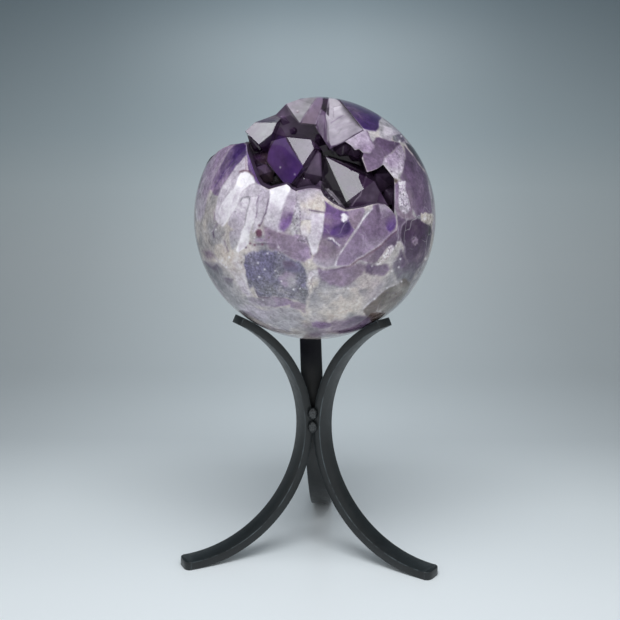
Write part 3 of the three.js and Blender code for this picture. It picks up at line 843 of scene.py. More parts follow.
        (389, 236), (396, 231), (398.5, 240.5), (393, 247), (386, 252), (380, 258), (374, 263.5),
        (366, 262), (358, 259), (364.5, 256), (373.5, 250.5), (381.5, 244.5),
    ]),
    "druzy_bar_low": ("pearl", "cream", 140, {"soft": 0.7, "wobble": 0.4, "druse": 0.9}, [
        (376.5, 263.5), (378.5, 260), (381, 256.5), (384.5, 252), (387.5, 247.5), (391, 245),
        (393.5, 246.5), (393.5, 249.5), (390.5, 255), (388, 258), (385, 260.5), (382, 263), (379, 264.5),
    ]),
    "dark_low_right": ("plum", "slate", 100, {"soft": 3, "wobble": 1.5}, [
        (402, 250), (408, 262), (418, 264), (424, 262), (418, 274), (408, 285), (398, 278), (392, 268),
        (396, 258),
    ]),
    "violet_shadow": ("plum", "heather", 0, {"soft": 2, "wobble": 1}, [
        (362, 267), (368, 264), (376, 265), (386, 264), (390, 270), (384, 276), (374, 276), (366, 273),
    ]),
    "olive": ("olive", "umber", 130, {"soft": 1.2, "wobble": 1}, [
        (363.5, 309), (370, 303), (376, 298), (385, 290), (392, 286), (401, 283), (410, 281), (409, 291),
        (402, 301), (393, 310), (384, 317), (372, 321), (366, 316),
    ]),
    "brown_low": ("umber", "olive", 90, {"soft": 1.2, "wobble": 0.8}, [
        (400, 281.5), (404, 279.5), (408, 281), (409.5, 286), (407, 292), (403.5, 293), (400.5, 289),
    ]),
    # Painted reflection of the pale backdrop along the ball's lower right rim.
    "painted_low_rim_reflection": ("ash", "slate", 130, {"soft": 0.9}, [
        (410, 292), (413.5, 286), (417.5, 280), (421.5, 273), (424.5, 266.5), (427, 261), (423, 264),
        (417, 275), (411, 284), (407.5, 292), (399, 303), (390, 311), (396, 309), (404, 300.5),
    ]),
    "mauve": ("mauve", "lilac", 40, {"soft": 1.8, "wobble": 1.2}, [
        (264, 226), (272, 230), (280, 232), (290, 235), (300, 238), (306, 243), (309, 251), (311, 258),
        (305, 261), (297, 259.5), (287, 255.5), (278, 252), (270, 248), (266, 240),
    ]),
    "druse_mid": ("lilac", "mist", 0, {"soft": 1, "wobble": 1, "druse": 1}, [
        (294, 234.5), (300, 234), (306.5, 237), (308, 241.5), (302, 243), (296, 240),
    ]),
    "blue_patch": ("storm", "slate", 60, {"soft": 1.5, "wobble": 1.4, "druse": 0.7}, [
        (243.5, 257.5), (247, 255.5), (250, 254), (259, 253), (266.5, 249.5), (275, 251), (281, 254),
        (291.5, 258.5), (297.5, 261), (301.5, 260.5), (304.5, 267.5), (306, 275), (306.5, 281.5),
        (307, 289), (306.5, 295), (305, 302), (304.5, 307), (300, 303), (294, 300), (288, 297.5),
        (280, 297.5), (268, 297), (259.5, 296), (256, 291), (253.5, 287), (249.5, 289), (246.5, 281),
        (245.5, 272), (243.5, 264),
    ]),
    "patch_centre": ("lilac", "ash", 60, {"soft": 2.5, "wobble": 1.5}, [
        (280, 277), (287, 272), (294, 275), (297.5, 282), (295, 288), (288, 287), (281, 284),
    ]),
    "patch_corner": ("plum", "storm", 60, {"soft": 2, "wobble": 1}, [
        (284, 262), (292, 261), (298, 265), (297, 271), (289, 272), (284, 268),
    ]),
    "below_patch": ("ash", "lilac", 0, {"soft": 1.2, "wobble": 1}, [
        (243, 297), (255, 298), (268, 297.5), (280, 298), (289, 299), (293, 303), (287, 306), (275, 307.5),
        (262, 306.5), (250, 304), (244, 301),
    ]),
    "tail": ("lilac", "mauve", 30, {"soft": 1.2, "wobble": 0.8}, [
        (289, 303), (297, 302), (304, 303), (305.5, 308), (305, 313), (300.5, 309.5), (295, 310.5),
        (290, 308),
    ]),
    "cream_left": ("cream", "pearl", 60, {"soft": 1.5, "wobble": 1.2, "druse": 0.2}, [
        (216, 246), (222, 243), (228, 248), (233, 250), (237, 252.5), (243, 257), (243.5, 265),
        (245.5, 273), (246, 281), (249, 289), (254, 297), (247, 297), (240, 290), (236.5, 282), (234, 274),
        (226.5, 267.5), (221, 263), (216, 258), (213, 251),
    ]),
    "notch_upper": ("plum", "slate", 60, {"soft": 1.5, "wobble": 0.6}, [
        (204.5, 261), (208, 264), (212, 266.5), (216.5, 264.5), (222, 269), (223, 275.5), (221.5, 277.5),
        (217, 275), (212, 271), (207, 266.5),
    ]),
    "notch_lower": ("plum", "slate", 60, {"soft": 1.5, "wobble": 0.6}, [
        (223, 279), (228, 278), (233.5, 279), (233.5, 283), (233, 287), (229, 287.5), (226, 283.5),
    ]),
    "brown_shadow": ("mauve", "cream", 60, {"soft": 2, "wobble": 1}, [
        (203, 252), (208, 250), (214, 255), (218, 261), (213, 263), (207, 261),
    ]),
    "grey_low_left": ("slate", "ash", 60, {"soft": 1.5, "wobble": 0.6}, [
        (205, 263), (212, 269), (222, 277), (228, 287), (232, 291), (237, 303), (242, 312), (236, 309),
        (226, 298), (216, 285), (209, 273),
    ]),
    "pink_under_spot": ("mist", "lilac", 0, {"soft": 1}, [
        (256, 238.5), (262, 238.5), (266, 241.5), (258, 242.5), (253, 241.5),
    ]),
    "maroon_spot": ("wine", "wine", 0, {"soft": 0.9, "wobble": 0.6}, [
        (255, 232), (257, 229.5), (260.5, 229.5), (262.5, 232.5), (262, 236.5), (259.5, 238.5),
        (256, 236.5),
    ]),
    "white_right_of_patch": ("pearl", "cream", 80, {"soft": 1.6, "wobble": 1}, [
        (307, 273), (311, 271.5), (316, 270), (321, 272), (320.5, 279), (318, 287), (312, 293), (308, 294),
        (307.5, 284),
    ]),
    "lilac_milk": ("lilac", "mauve", 20, {"soft": 2, "wobble": 1.4}, [
        (319, 268.5), (327, 270), (337, 268.5), (345, 267), (352, 265), (360, 262), (365, 268), (360, 277),
        (352, 284), (341, 286), (330, 285), (322, 280),
    ]),
    "milky": ("ash", "cream", 60, {"soft": 3, "wobble": 2}, [
        (308, 294), (318, 288), (330, 286), (345, 288), (358, 290), (364, 298), (358, 310), (345, 318),
        (330, 320), (316, 316), (307, 308),
    ]),
    "milky_left": ("mist", "ash", 20, {"soft": 2.5, "wobble": 2}, [
        (238, 305), (250, 305), (262, 307.5), (276, 308.5), (290, 309), (300, 311), (306, 318), (300, 328),
        (288, 331), (272, 327), (256, 319), (244, 311),
    ]),
    "violet_bottom": ("lilac", "heather", 0, {"soft": 1.6, "wobble": 1}, [
        (311, 322), (317, 320.5), (325, 321.5), (332, 324), (328, 328), (319, 328.5), (312, 326.5),
    ]),
    "bottom_right": ("mauve", "plum", 0, {"soft": 2.5, "wobble": 1}, [
        (332, 322), (345, 320), (360, 316), (372, 318), (366, 326), (352, 331), (338, 333), (330, 331),
    ]),
    "upper_purple": ("plum", "ink", 25, {"soft": 0.9}, [
        (335.5, 98), (345, 99), (356, 103), (368, 108.5), (378, 114), (381.5, 118), (379.5, 121.5),
        (378.5, 128), (376, 131.5), (370, 131), (364, 129.5), (357, 121), (349, 112), (341, 103),
    ]),
    "grey_green": ("ash", "mist", 40, {"soft": 0.8}, [
        (379.5, 120.5), (382, 118), (388, 121.5), (394, 126), (399.5, 131), (401, 133.5), (396, 134.5),
        (392.5, 136), (392, 139), (391, 140.5), (385, 139), (380, 137), (379.5, 128),
    ]),
    "grey_green_heart": ("pearl", "pearl", 0, {"soft": 1.2, "wobble": 0.5}, [
        (384, 126), (390, 127.5), (393, 131), (390, 135), (385, 135.5), (382.5, 131),
    ]),
    "lower_lobe": ("mist", "lilac", 40, {"soft": 0.8}, [
        (344.5, 141), (352, 136.5), (358, 133), (363.5, 129.5), (367.5, 132.5), (370, 138), (372.5, 143),
        (374.5, 146.5), (373, 150), (371, 152.5), (366, 152), (363, 152), (359, 149), (355, 150),
        (351, 145.5), (346, 144),
    ]),
    "aubergine_lobe": ("plum", "heather", 110, {"soft": 1, "wobble": 0.5}, [
        (372.5, 143), (376, 137.5), (380, 137.5), (386, 139), (392, 140.5), (399.5, 142), (401, 144),
        (396, 148), (391, 152.5), (384.5, 157), (383, 163.5), (378.5, 168.5), (372, 170.5), (367, 171.5),
        (363, 160), (362, 153), (366.5, 152.5), (371, 152.5), (374.5, 146.5),
    ]),
    "dark_bit": ("slate", "plum", 0, {"soft": 0.6}, [
        (392.5, 136), (396, 135), (401.5, 133.5), (403.5, 137), (404.5, 140.5), (402, 142), (397, 141.5),
        (393, 140),
    ]),
}
# Cracks, seams and bright edges: tint, half width in dots, strength and course.
POLISH_LINES = [
    ("iris", 1.3, 0.6, [(234, 160), (226, 170), (215, 186)]),
    ("heather", 1, 0.4, [(232, 152), (224, 164), (217, 177)]),
    # The next two lines are painted highlights along the white prism's edges.
    ("snow", 0.8, 0.7, [(236, 184), (232.5, 190), (226, 198), (221.5, 206), (219, 213)]),
    ("snow", 0.9, 0.8, [(239, 197), (233.5, 209), (228, 218.5), (222.5, 226)]),
    ("wine", 0.8, 0.75, [(239.5, 171.5), (243, 170.5), (247, 171), (249.5, 172), (254.5, 176.5)]),
    ("pearl", 0.6, 0.6, [(246.5, 157.5), (247.5, 170.5)]),
    ("wine", 0.5, 0.5, [(245.5, 158), (246, 170)]),
    ("ash", 0.6, 0.5, [(247, 151), (249, 163), (252.5, 176), (258.5, 185)]),
    ("slate", 0.7, 0.85, [
        (240.5, 201), (241.5, 199), (243.5, 197.5), (249.5, 197.5), (249.5, 203.5), (246.5, 212.5),
        (244.5, 225.5),
    ]),
    ("heather", 0.7, 0.8, [(258.5, 196), (256.5, 204), (257, 210), (256, 217)]),
    ("snow", 0.6, 0.5, [(257.5, 196.5), (255.5, 204), (256, 212)]),
    ("plum", 0.7, 0.85, [
        (268.5, 190.5), (270, 194), (267.5, 204), (265.5, 213), (264, 216), (262, 221.5), (259.5, 226),
    ]),
    ("pearl", 0.7, 0.5, [(288.5, 193.5), (286, 198.5), (283.5, 204), (281.5, 213)]),
    ("snow", 0.8, 0.7, [(275.5, 187.5), (281, 186), (286.5, 184.5), (291, 188.5)]),
    ("snow", 0.6, 0.6, [(287, 184.5), (289, 189), (289, 193)]),
    ("heather", 0.7, 0.5, [(291, 188.5), (296, 191), (296.5, 197), (295.5, 204)]),
    ("plum", 0.9, 0.8, [(309.5, 210), (316, 211.5), (325, 212.5)]),
    ("pearl", 0.6, 0.55, [(300, 191.5), (306, 190), (312, 189.5), (318, 190), (322.5, 193)]),
    ("snow", 0.7, 0.75, [(324, 214.5), (322.5, 229.5), (321, 238), (317.5, 246.5), (316, 252)]),
    ("plum", 0.7, 0.7, [(306, 237), (309, 246), (311, 254.5)]),
    ("snow", 0.5, 0.6, [(307.5, 238), (310.5, 246), (312.5, 254)]),
    ("plum", 0.6, 0.6, [(300, 212), (300.5, 221), (299.5, 229), (301.5, 234.5), (306, 236.5)]),
    ("olive", 0.6, 0.6, [(301, 221), (305, 220), (311, 220)]),
    # A painted highlight: the white streak of a glint.
    ("snow", 0.7, 0.9, [(328, 238.5), (332, 238.5), (335, 241.5), (340, 245.5)]),
    ("ink", 0.8, 0.5, [(328, 240.5), (332, 241), (337, 245)]),
    ("snow", 0.8, 0.85, [
        (335.5, 265.5), (336.5, 260), (343, 249), (352.5, 236), (363, 219), (367.5, 214), (372.5, 208.5),
    ]),
    ("pearl", 0.6, 0.7, [
        (335.5, 266), (342, 266), (349, 265), (353.5, 262), (357.5, 258), (364.5, 255), (373.5, 249.5),
        (381, 243.5), (389, 236), (395.5, 230.5),
    ]),
    ("wine", 0.9, 0.7, [
        (343, 267.5), (349.5, 266.5), (358, 259.5), (365, 256.5), (374, 251), (382, 245), (390, 237),
        (396.5, 231.5),
    ]),
    ("cream", 0.6, 0.7, [
        (347, 210), (355, 209), (364, 207), (372, 204.5), (378, 203), (385, 204), (392, 210), (396, 215),
        (396.5, 223.5), (396, 230.5),
    ]),
    ("mist", 0.5, 0.4, [(385, 204.5), (389.5, 208.5), (392.5, 212.5), (381.5, 218.5)]),
    ("ash", 0.6, 0.6, [
        (394.5, 184.5), (394.5, 195), (394.5, 208), (397, 213.5), (401.5, 218), (408, 219), (416.5, 218.5),
    ]),
    ("cream", 0.7, 0.8, [(404.5, 144.5), (410, 151.5), (416.5, 160.5), (422, 167.5), (427.5, 174.5)]),
    ("plum", 0.7, 0.45, [(427.5, 174.5), (430.5, 184), (432.5, 196), (433, 208)]),
    ("mist", 0.7, 0.7, [(408, 219), (402, 226), (400.5, 234.5), (401, 241.5), (405, 247.5), (405, 253)]),
    ("soot", 1, 0.8, [(430, 224.5), (429.5, 230), (428.5, 235)]),
    ("aubergine", 0.9, 0.6, [(409, 220.5), (403, 227.5), (401.5, 234)]),
    ("pearl", 0.9, 0.7, [
        (363.5, 308), (368, 303.5), (374.5, 299), (381.5, 292.5), (389, 287), (397.5, 284.5), (401, 280.5),
    ]),
    ("plum", 0.8, 0.75, [
        (254.5, 288.5), (256.5, 293), (259, 297), (266, 297.5), (275, 297.5), (283, 298), (290, 300.5),
    ]),
    ("snow", 0.6, 0.6, [(253.5, 289), (255.5, 293.5), (257.5, 297)]),
    ("mist", 0.5, 0.5, [(262, 296.5), (272, 296), (281, 296.5)]),
    ("pearl", 0.8, 0.6, [(216, 258), (221, 263), (226.5, 267.5), (233, 272.5), (236.5, 273.5)]),
    ("plum", 0.9, 0.75, [(217.5, 224), (214.5, 228), (213, 232), (214, 237)]),
    ("pearl", 0.6, 0.5, [(200, 227.5), (203, 231), (206, 233), (209, 232.5), (212, 231), (217.5, 224)]),
    ("heather", 1.1, 0.6, [(214, 211.5), (214.5, 216), (214, 221)]),
    ("umber", 0.8, 0.7, [(204, 169), (201.5, 176), (199, 187.5)]),
    ("snow", 0.6, 0.7, [(196, 201), (196.5, 211), (197.5, 220.5)]),
    ("plum", 1, 0.55, [(249, 243.5), (254.5, 245), (262, 244), (268.5, 243.5), (275, 246)]),
    ("pearl", 0.5, 0.6, [(257.5, 242.5), (263, 242), (268.5, 242.5)]),
    ("pearl", 0.6, 0.7, [(319.5, 266.5), (327, 267), (335, 266)]),
    ("plum", 1.2, 0.7, [(326, 269.5), (331, 270), (335.5, 269.5)]),
    ("aubergine", 0.8, 0.7, [(337, 269), (341, 268), (346, 267)]),
    ("snow", 1, 0.9, [(310, 278.5), (314, 274.5)]),
    ("aubergine", 1.6, 0.6, [(340, 332.5), (353, 329.5), (362, 326)]),
    ("heather", 1, 0.5, [(354, 111), (359, 115), (363, 120)]),
    ("pearl", 0.6, 0.6, [(344.5, 141), (354, 135), (363.5, 129.5)]),
    ("mist", 0.6, 0.5, [(363.5, 129.5), (370, 131), (377, 131.5)]),
    ("plum", 0.8, 0.7, [(367, 131.5), (370, 138), (372.5, 143)]),
    ("mist", 0.6, 0.5, [(335.5, 98), (345, 99), (356, 103), (368, 108), (380, 115)]),
    ("pearl", 0.5, 0.5, [(379.5, 120.5), (379.5, 128), (380, 137), (385, 139), (391, 140.5)]),
    ("pearl", 0.6, 0.6, [(383, 164), (387, 169), (392, 175), (396, 179)]),
    ("pearl", 0.7, 0.5, [(222, 241), (224, 246), (226, 252)]),
    ("heather", 0.7, 0.5, [(224.5, 240), (226, 245), (228.5, 251)]),
]
# Specks: tint, place and radius in dots.
POLISH_SPECKS = [
    ("aubergine", 246, 247.5, 0.9), ("umber", 241.6, 262.5, 0.8), ("slate", 235.4, 211.5, 0.6),
    ("wine", 259, 225.2, 1), ("wine", 254.6, 244.9, 1.1), ("wine", 262.4, 244.4, 1.2),
    ("wine", 250.4, 243.4, 1), ("plum", 269.5, 233.5, 1.1), ("umber", 268.9, 237.5, 0.9),
    ("plum", 296.6, 218.5, 0.8), ("plum", 297.4, 225, 0.9), ("plum", 296.4, 231.4, 0.9),
    ("umber", 371, 318, 0.8), ("umber", 390, 297, 0.9), ("umber", 396, 294, 0.9), ("soot", 278.4, 253.3, 0.7),
    ("aubergine", 280, 253, 0.7), ("plum", 391.6, 171.5, 0.9), ("olive", 270.8, 317, 0.7),
    ("snow", 229.4, 257.4, 1.3), ("snow", 221.8, 260.6, 1), ("snow", 226.5, 267, 1.1),
    ("snow", 267.6, 253.4, 0.9), ("snow", 278.4, 247.2, 0.9), ("snow", 278.6, 253.3, 0.8),
    ("snow", 257.8, 263.2, 1.2), ("snow", 264.6, 269.5, 0.9), ("snow", 275.2, 270.9, 0.9),
    ("snow", 281.4, 281.2, 0.9), ("snow", 293.5, 289.4, 0.9), ("snow", 299.8, 288.6, 0.8),
    # The snow speck at 345.7, 217 is a painted glint.
    ("snow", 259, 277, 0.9), ("snow", 308.6, 262, 0.9), ("snow", 345.7, 217, 2), ("snow", 424.8, 218.4, 1.4),
    ("snow", 400.3, 258.9, 1), ("snow", 398.8, 267.3, 1), ("snow", 391.9, 271.2, 0.8),
    ("snow", 372, 265.8, 0.9), ("snow", 397.3, 242.1, 0.9), ("snow", 396, 246, 0.8),
    ("snow", 425.6, 258.9, 0.9), ("snow", 401.4, 136, 1.1), ("snow", 399.6, 141.2, 1.2),
    ("snow", 348.3, 288.3, 1), ("snow", 377.3, 264, 1.1), ("snow", 401.5, 281.5, 1), ("snow", 387, 288, 0.9),
    ("snow", 374.5, 299, 0.9), ("snow", 245, 226.5, 0.6), ("snow", 254.6, 237.5, 0.7), ("snow", 263, 300, 0.7),
    # The snow speck at 330.4, 238.9 is a painted glint, where the painted streak of light starts.
    ("snow", 236.4, 318, 0.8), ("snow", 216, 229.5, 0.7), ("snow", 330.4, 238.9, 0.9),
]
# The crust's markings, edge lines and specks, laid out like the polish's. Its pale edge lines are painted
# highlights along the crystals' edges.
CRUST_MARKS = {
    "shoulder_face": ("plum", "slate", 0, {"soft": 0.6}, [
        (245, 132), (255, 123), (274, 120.5), (277, 123), (273.5, 128.5), (272, 134), (263, 137),
        (258.5, 144.5),
    ]),
    # Painted reflection: the shoulder crystal's downward face, painted pale grey for the floor it mirrors.
    "shoulder_underside_reflection": ("slate", "plum", 60, {"soft": 0.6}, [
        (258.5, 144.5), (263, 137.5), (272, 134), (272, 140), (267, 145), (262.5, 147.5),
    ]),
    "left_step": ("plum", "heather", 60, {"soft": 0.6}, [
        (245, 132), (258.5, 144.5), (262.5, 147.5), (257, 147.5), (253, 150), (248, 142), (245, 136),
    ]),
    "window_violet": ("violet", "iris", 15, {"soft": 0.6}, [
        (275, 140), (271, 146), (268, 153), (267.5, 161), (273, 169.5), (281, 181), (285, 184),
        (288, 186.5), (291, 184.5), (297, 178.5), (304, 172), (305.5, 170), (301.5, 163.5), (294, 152),
        (287, 141.5), (285, 137), (279, 135.5),
    ]),
    "window_grey": ("aubergine", "plum", 30, {"soft": 0.6}, [
        (287, 141.5), (286, 137), (299, 134), (311.5, 139), (312.5, 148.5), (316, 153.5), (307.5, 162.5),
        (303, 164), (297.5, 158),
    ]),
    # Painted shade: the deep gap between the upper and lower crystals, darkened in the crust's own tints.
    "arch_shade": ("plum", "aubergine", 0, {"soft": 0.8}, [
        (273.5, 128.5), (277, 123), (281, 119), (291, 115), (299.5, 122.5), (314.5, 125), (318, 135),
        (325, 145), (331, 150), (329, 153), (316, 153), (312.5, 148.5), (311.5, 139.5), (304, 134.5),
        (295, 133.5), (286, 136.5), (279, 135.5), (275, 140), (272, 142), (272, 134),
    ]),
    "dark_quad": ("plum", "heather", 60, {"soft": 0.6}, [
        (276, 115), (285.5, 103.5), (291, 115), (281, 118.5),
    ]),
    "shoulder_top": ("plum", "slate", 0, {"soft": 0.6}, [
        (255, 123), (262, 117.5), (270, 114), (276, 115), (281, 118.5), (277, 123), (274, 120.5),
    ]),
    "crown": ("mist", "ash", 40, {"soft": 0.6}, [
        (286, 103.5), (291, 101), (296, 99.5), (307, 97.5), (317.5, 96), (312, 104), (306, 113),
        (299.5, 122.5), (292, 115),
    ]),
    "crown_side": ("lilac", "mauve", 100, {"soft": 0.6}, [
        (318, 96), (323, 96.5), (322.5, 104), (320.5, 110), (317, 118), (314.5, 125), (307, 124.5),
        (300.5, 124), (306.5, 113.5), (312.5, 104),
    ]),
    "slot": ("aubergine", "soot", 90, {"soft": 0.6}, [
        (323, 96), (329.5, 96.5), (329, 107), (329, 116), (325, 112), (321.5, 108.5), (323, 102),
    ]),
    "narrow_crystal": ("heather", "plum", 90, {"soft": 0.6}, [
        (320.5, 109.5), (325, 112.5), (328.5, 116.5), (326.5, 122), (326.5, 131), (327, 140.5),
        (331.5, 146.5), (334, 152), (330, 150), (324, 140), (318.5, 133), (315, 125),
    ]),
    "pale": ("pearl", "mist", 70, {"soft": 0.7}, [
        (329, 97), (335.5, 97.5), (346, 108), (355, 118.5), (364, 129), (354, 135), (344.5, 141),
        (338, 144), (331.5, 146), (327, 140.5), (326.5, 126), (326, 114), (329, 116),
    ]),
    "brown_left": ("aubergine", "umber", 60, {"soft": 0.8}, [
        (253, 150), (257, 148), (267, 146), (271, 145.5), (268, 153), (267.5, 161), (272, 168),
        (266, 164.5), (260, 163), (256.5, 164.5), (254, 158),
    ]),
    "brown_left_low": ("plum", "umber", 60, {"soft": 0.8, "wobble": 0.4}, [
        (256.5, 164.5), (260, 163), (266, 164.5), (273, 169.5), (281, 181), (284.5, 183.5), (280, 185),
        (275.5, 187.5), (268.5, 190), (262, 187.5), (259.5, 177),
    ]),
    "right_of_window": ("heather", "plum", 40, {"soft": 0.8}, [
        (305.5, 170), (316, 153.5), (322, 152), (325, 156), (323, 172), (322, 189), (314, 188),
        (304.5, 189), (297.5, 190.5), (291, 188.5), (288, 186.5), (297, 178.5),
    ]),
    # Painted shade: the near-black gap between two crystals.
    "seam_shade": ("soot", "soot", 0, {"soft": 0.7}, [
        (321, 150), (326, 154), (325, 170), (323, 189.5), (321.5, 188.5), (322, 172),
    ]),
    # Painted shadow: the black band under the overhanging pale crystal.
    "upper_painted_shadow": ("soot", "aubergine", 0, {"soft": 0.7}, [
        (323, 152), (331, 150), (334, 152.5), (345, 157), (358, 162), (366, 171.5), (367, 173.5),
        (352, 167), (338, 160.5), (325, 155),
    ]),
    "left_black": ("soot", "soot", 0, {"soft": 0.7}, [
        (325, 156), (332, 168), (341, 184), (351, 203.5), (348.5, 208), (339, 206.5), (331, 200),
        (325, 194), (323, 189), (324.5, 172),
    ]),
    "main_face": ("aubergine", "aubergine", 0, {"soft": 0.5}, [
        (325, 155.5), (345, 164.5), (367, 174.5), (365, 181), (360.5, 195), (356, 199.5), (352, 205.5),
        (340, 183),
    ]),
    "pit": ("heather", "aubergine", 60, {"soft": 0.6}, [
        (334, 152), (339, 148), (344.5, 144.5), (351, 145), (355, 150), (359, 148.5), (363, 153),
        (362, 158), (364, 164), (366, 170.5), (357, 164), (345, 157.5),
    ]),
    "right_deep": ("aubergine", "heather", 0, {"soft": 0.8}, [
        (367, 172.5), (372, 171), (379.5, 168.5), (383, 165), (389, 172), (394, 179.5), (394.5, 190),
        (394.5, 212), (388, 207), (382, 204), (374, 204.5), (364, 207), (352.5, 209), (352, 205.5),
        (356, 199.5), (360.5, 195), (365, 181),
    ]),
    "right_strip": ("plum", "heather", 90, {"soft": 0.9}, [
        (385, 178.5), (390, 176), (394, 179.5), (394.5, 195), (394.5, 212), (390.5, 208.5), (386.5, 205.5),
        (386, 192),
    ]),
    "striped_sliver": ("pearl", "mist", 60, {"soft": 0.5}, [
        (325.5, 188.5), (328.5, 188.5), (333, 192.5), (340, 201), (346, 209), (341.5, 207), (335, 200),
        (329, 193.5),
    ]),
    "sliver_side": ("plum", "soot", 60, {"soft": 0.6}, [
        (323.5, 193), (326, 190.5), (334, 200.5), (341, 207.5), (336, 206), (328, 200.5),
    ]),
}
CRUST_LINES = [
    ("mist", 0.5, 0.7, [(266, 162.5), (272, 169.5), (281.5, 181), (288, 186.5)]),
    ("mist", 0.5, 0.6, [(304.5, 171.5), (297.5, 178), (291, 185)]),
    ("cream", 0.5, 0.7, [(246, 137), (249.5, 144.5), (254, 152)]),
    ("soot", 0.5, 0.7, [(247, 137.5), (251, 144.5), (255, 152)]),
    ("snow", 0.5, 0.6, [(329, 98), (326.5, 114), (326, 126), (327.5, 140.5), (331.5, 146)]),
    ("pearl", 0.5, 0.6, [(321, 110), (315, 125), (319.5, 133.5)]),
    ("aubergine", 0.6, 0.6, [(324.5, 113.5), (326.5, 122), (327, 139), (331, 146)]),
    ("pearl", 0.5, 0.5, [(317.5, 96.5), (306.5, 113), (299.5, 123), (291.5, 115), (286, 104)]),
    ("aubergine", 0.5, 0.4, [(245, 132), (255, 123), (274, 120.5)]),
    ("lilac", 0.6, 0.6, [(331, 123), (337, 119), (343, 115.5)]),
    ("ash", 0.6, 0.6, [(332.5, 136.5), (338.5, 133.5), (343, 126.5)]),
    ("soot", 0.5, 0.6, [(326, 188.5), (333, 195), (340.5, 203)]),
    # A painted glint.
    ("snow", 0.8, 0.9, [(343.5, 146.5), (342.5, 154)]),
    ("lilac", 0.6, 0.5, [(351, 145.5), (352.5, 150), (354.5, 156)]),
    ("pearl", 0.5, 0.6, [(325, 155.5), (345, 164), (367, 174)]),
    ("pearl", 0.5, 0.6, [(367, 174.5), (365, 181), (360.5, 195), (356, 199.5), (352, 205.5)]),
    ("plum", 0.5, 0.4, [(323.5, 158), (323, 174), (322.5, 189)]),
    ("aubergine", 0.5, 0.5, [(308, 172), (300, 180), (296, 186)]),
]
CRUST_SPECKS = [
    ("wine", 297.6, 111.6, 1), ("aubergine", 307.6, 146, 0.7), ("aubergine", 355.6, 173.2, 0.6),
    ("aubergine", 363, 177.6, 0.6),
    ("snow", 280.2, 167.4, 0.8), ("snow", 294.8, 174.4, 0.8), ("snow", 270, 183, 0.7),
    ("snow", 275, 180.6, 0.6), ("snow", 297.5, 111, 0.9), ("snow", 331.5, 195, 0.7), ("snow", 329, 198, 0.7),
    ("snow", 333.5, 200, 0.7),
]


def tint(name):
    """A named tint as an array."""
    return np.array(TINTS[name], dtype=float)


def marked(colour, druse, x, y, wobble, marks):
    """Lays markings over the colours, in order, and notes where they are druse."""
    for first, second, turn, finish, outline in marks.values():
        soft = finish.get("soft", 1.0)
        corners = np.array(outline, dtype=float)
        low, high = corners.min(axis=0) - 3 - 2 * soft, corners.max(axis=0) + 3 + 2 * soft
        near = np.flatnonzero((x > low[0]) & (x < high[0]) & (y > low[1]) & (y < high[1]))
        if not len(near):
            continue
        shift = wobble[near] * finish.get("wobble", 0.3)
        at_x, at_y = x[near] + shift[:, 0], y[near] + shift[:, 1]
        weight = eased(0.5 - distance_to(outline, at_x, at_y) / (2 * soft))[:, None]
        way = np.array((math.cos(math.radians(turn)), math.sin(math.radians(turn))))
        ends = corners @ way
        along = (at_x * way[0] + at_y * way[1] - ends.min()) / (ends.max() - ends.min())
        tone = tint(first) + (tint(second) - tint(first)) * eased(along + 0.2 * wobble[near, 1])[:, None]
        colour[near] += (tone - colour[near]) * weight
        druse[near] += (finish.get("druse", 0) - druse[near]) * weight[:, 0]


def lined(colour, x, y, broken, lines):
    """Draws cracks, seams and bright edges, some of which are painted highlights, over the colours, faint where
    they are broken.
    """
    for name, width, strength, course in lines:
        corners = np.array(course, dtype=float)
        low, high = corners.min(axis=0) - 4 * width, corners.max(axis=0) + 4 * width
        near = np.flatnonzero((x > low[0]) & (x < high[0]) & (y > low[1]) & (y < high[1]))
        if len(near):
            away = distance_to(course, x[near], y[near], closed=False) / max(width, 0.6)
            weight = (strength * np.exp(-(away**2)) * (1 - 0.7 * broken[near]))[:, None]
            colour[near] += (tint(name) - colour[near]) * weight


def specked(colour, x, y, specks):
    """Dots specks over the colours, a few of them painted glints."""
    for name, at_x, at_y, radius in specks:
        weight = np.exp(-((x - at_x) ** 2 + (y - at_y) ** 2) / radius**2)
        near = weight > 0.02
        colour[near] += (tint(name) - colour[near]) * weight[near][:, None]


def painted(piece, colours, domain="POINT", druse=None):
    """Stores colours, as screen colours of 0 to 255, and how far each place is druse."""
    attribute = piece.data.color_attributes.new("paint", "FLOAT_COLOR", domain)
    flat = np.ones((len(colours), 4), dtype=np.float32)
    flat[:, :3] = to_linear(colours)
    attribute.data.foreach_set("color", flat.ravel())
    if druse is not None:
        attribute = piece.data.attributes.new("druse", "FLOAT", domain)
        attribute.data.foreach_set("value", np.asarray(druse, dtype=np.float32))


def banded(places):
    """Growth bands that run through the ball, from milky over lilac to deep violet."""
    warp = 11 * cloud(places, 52, 11) + 2.5 * cloud(places, 13, 23)
    across = (places @ np.array((0.52, 0.34, 0.78)) + warp) / 47
    level = across - np.floor(across)
    stops = (0, 0.16, 0.3, 0.4, 0.47, 0.52, 0.62, 0.8, 1)
    names = ("mist", "ash", "lilac", "violet", "ink", "iris", "lilac", "pearl", "mist")
    tones = np.array([tint(name) for name in names])
    colour = np.stack([np.interp(level, stops, tones[:, k]) for k in range(3)], axis=1)
    zigzag = np.abs(((across * 6 + 0.25 * cloud(places, 6, 41)) % 1) - 0.5)
    return colour + (tint("pearl") - colour) * (0.3 * eased((0.12 - zigzag) / 0.1))[:, None]


def milky(places):
    """The cloudy quartz that the front's markings lie in: grey and cream, with lilac clouds."""
    level = eased(0.5 + 0.9 * cloud(places, 17, 31))[:, None]
    colour = tint("ash") + (tint("cream") - tint("ash")) * level
    lilac = eased(0.1 + 1.1 * cloud(places, 26, 52))[:, None]
    colour = colour + (tint("heather") - colour) * lilac * 0.6
    dim = eased(1.6 * cloud(places, 9, 58) - 0.2)[:, None]
    return colour + (tint("slate") - colour) * dim * 0.6


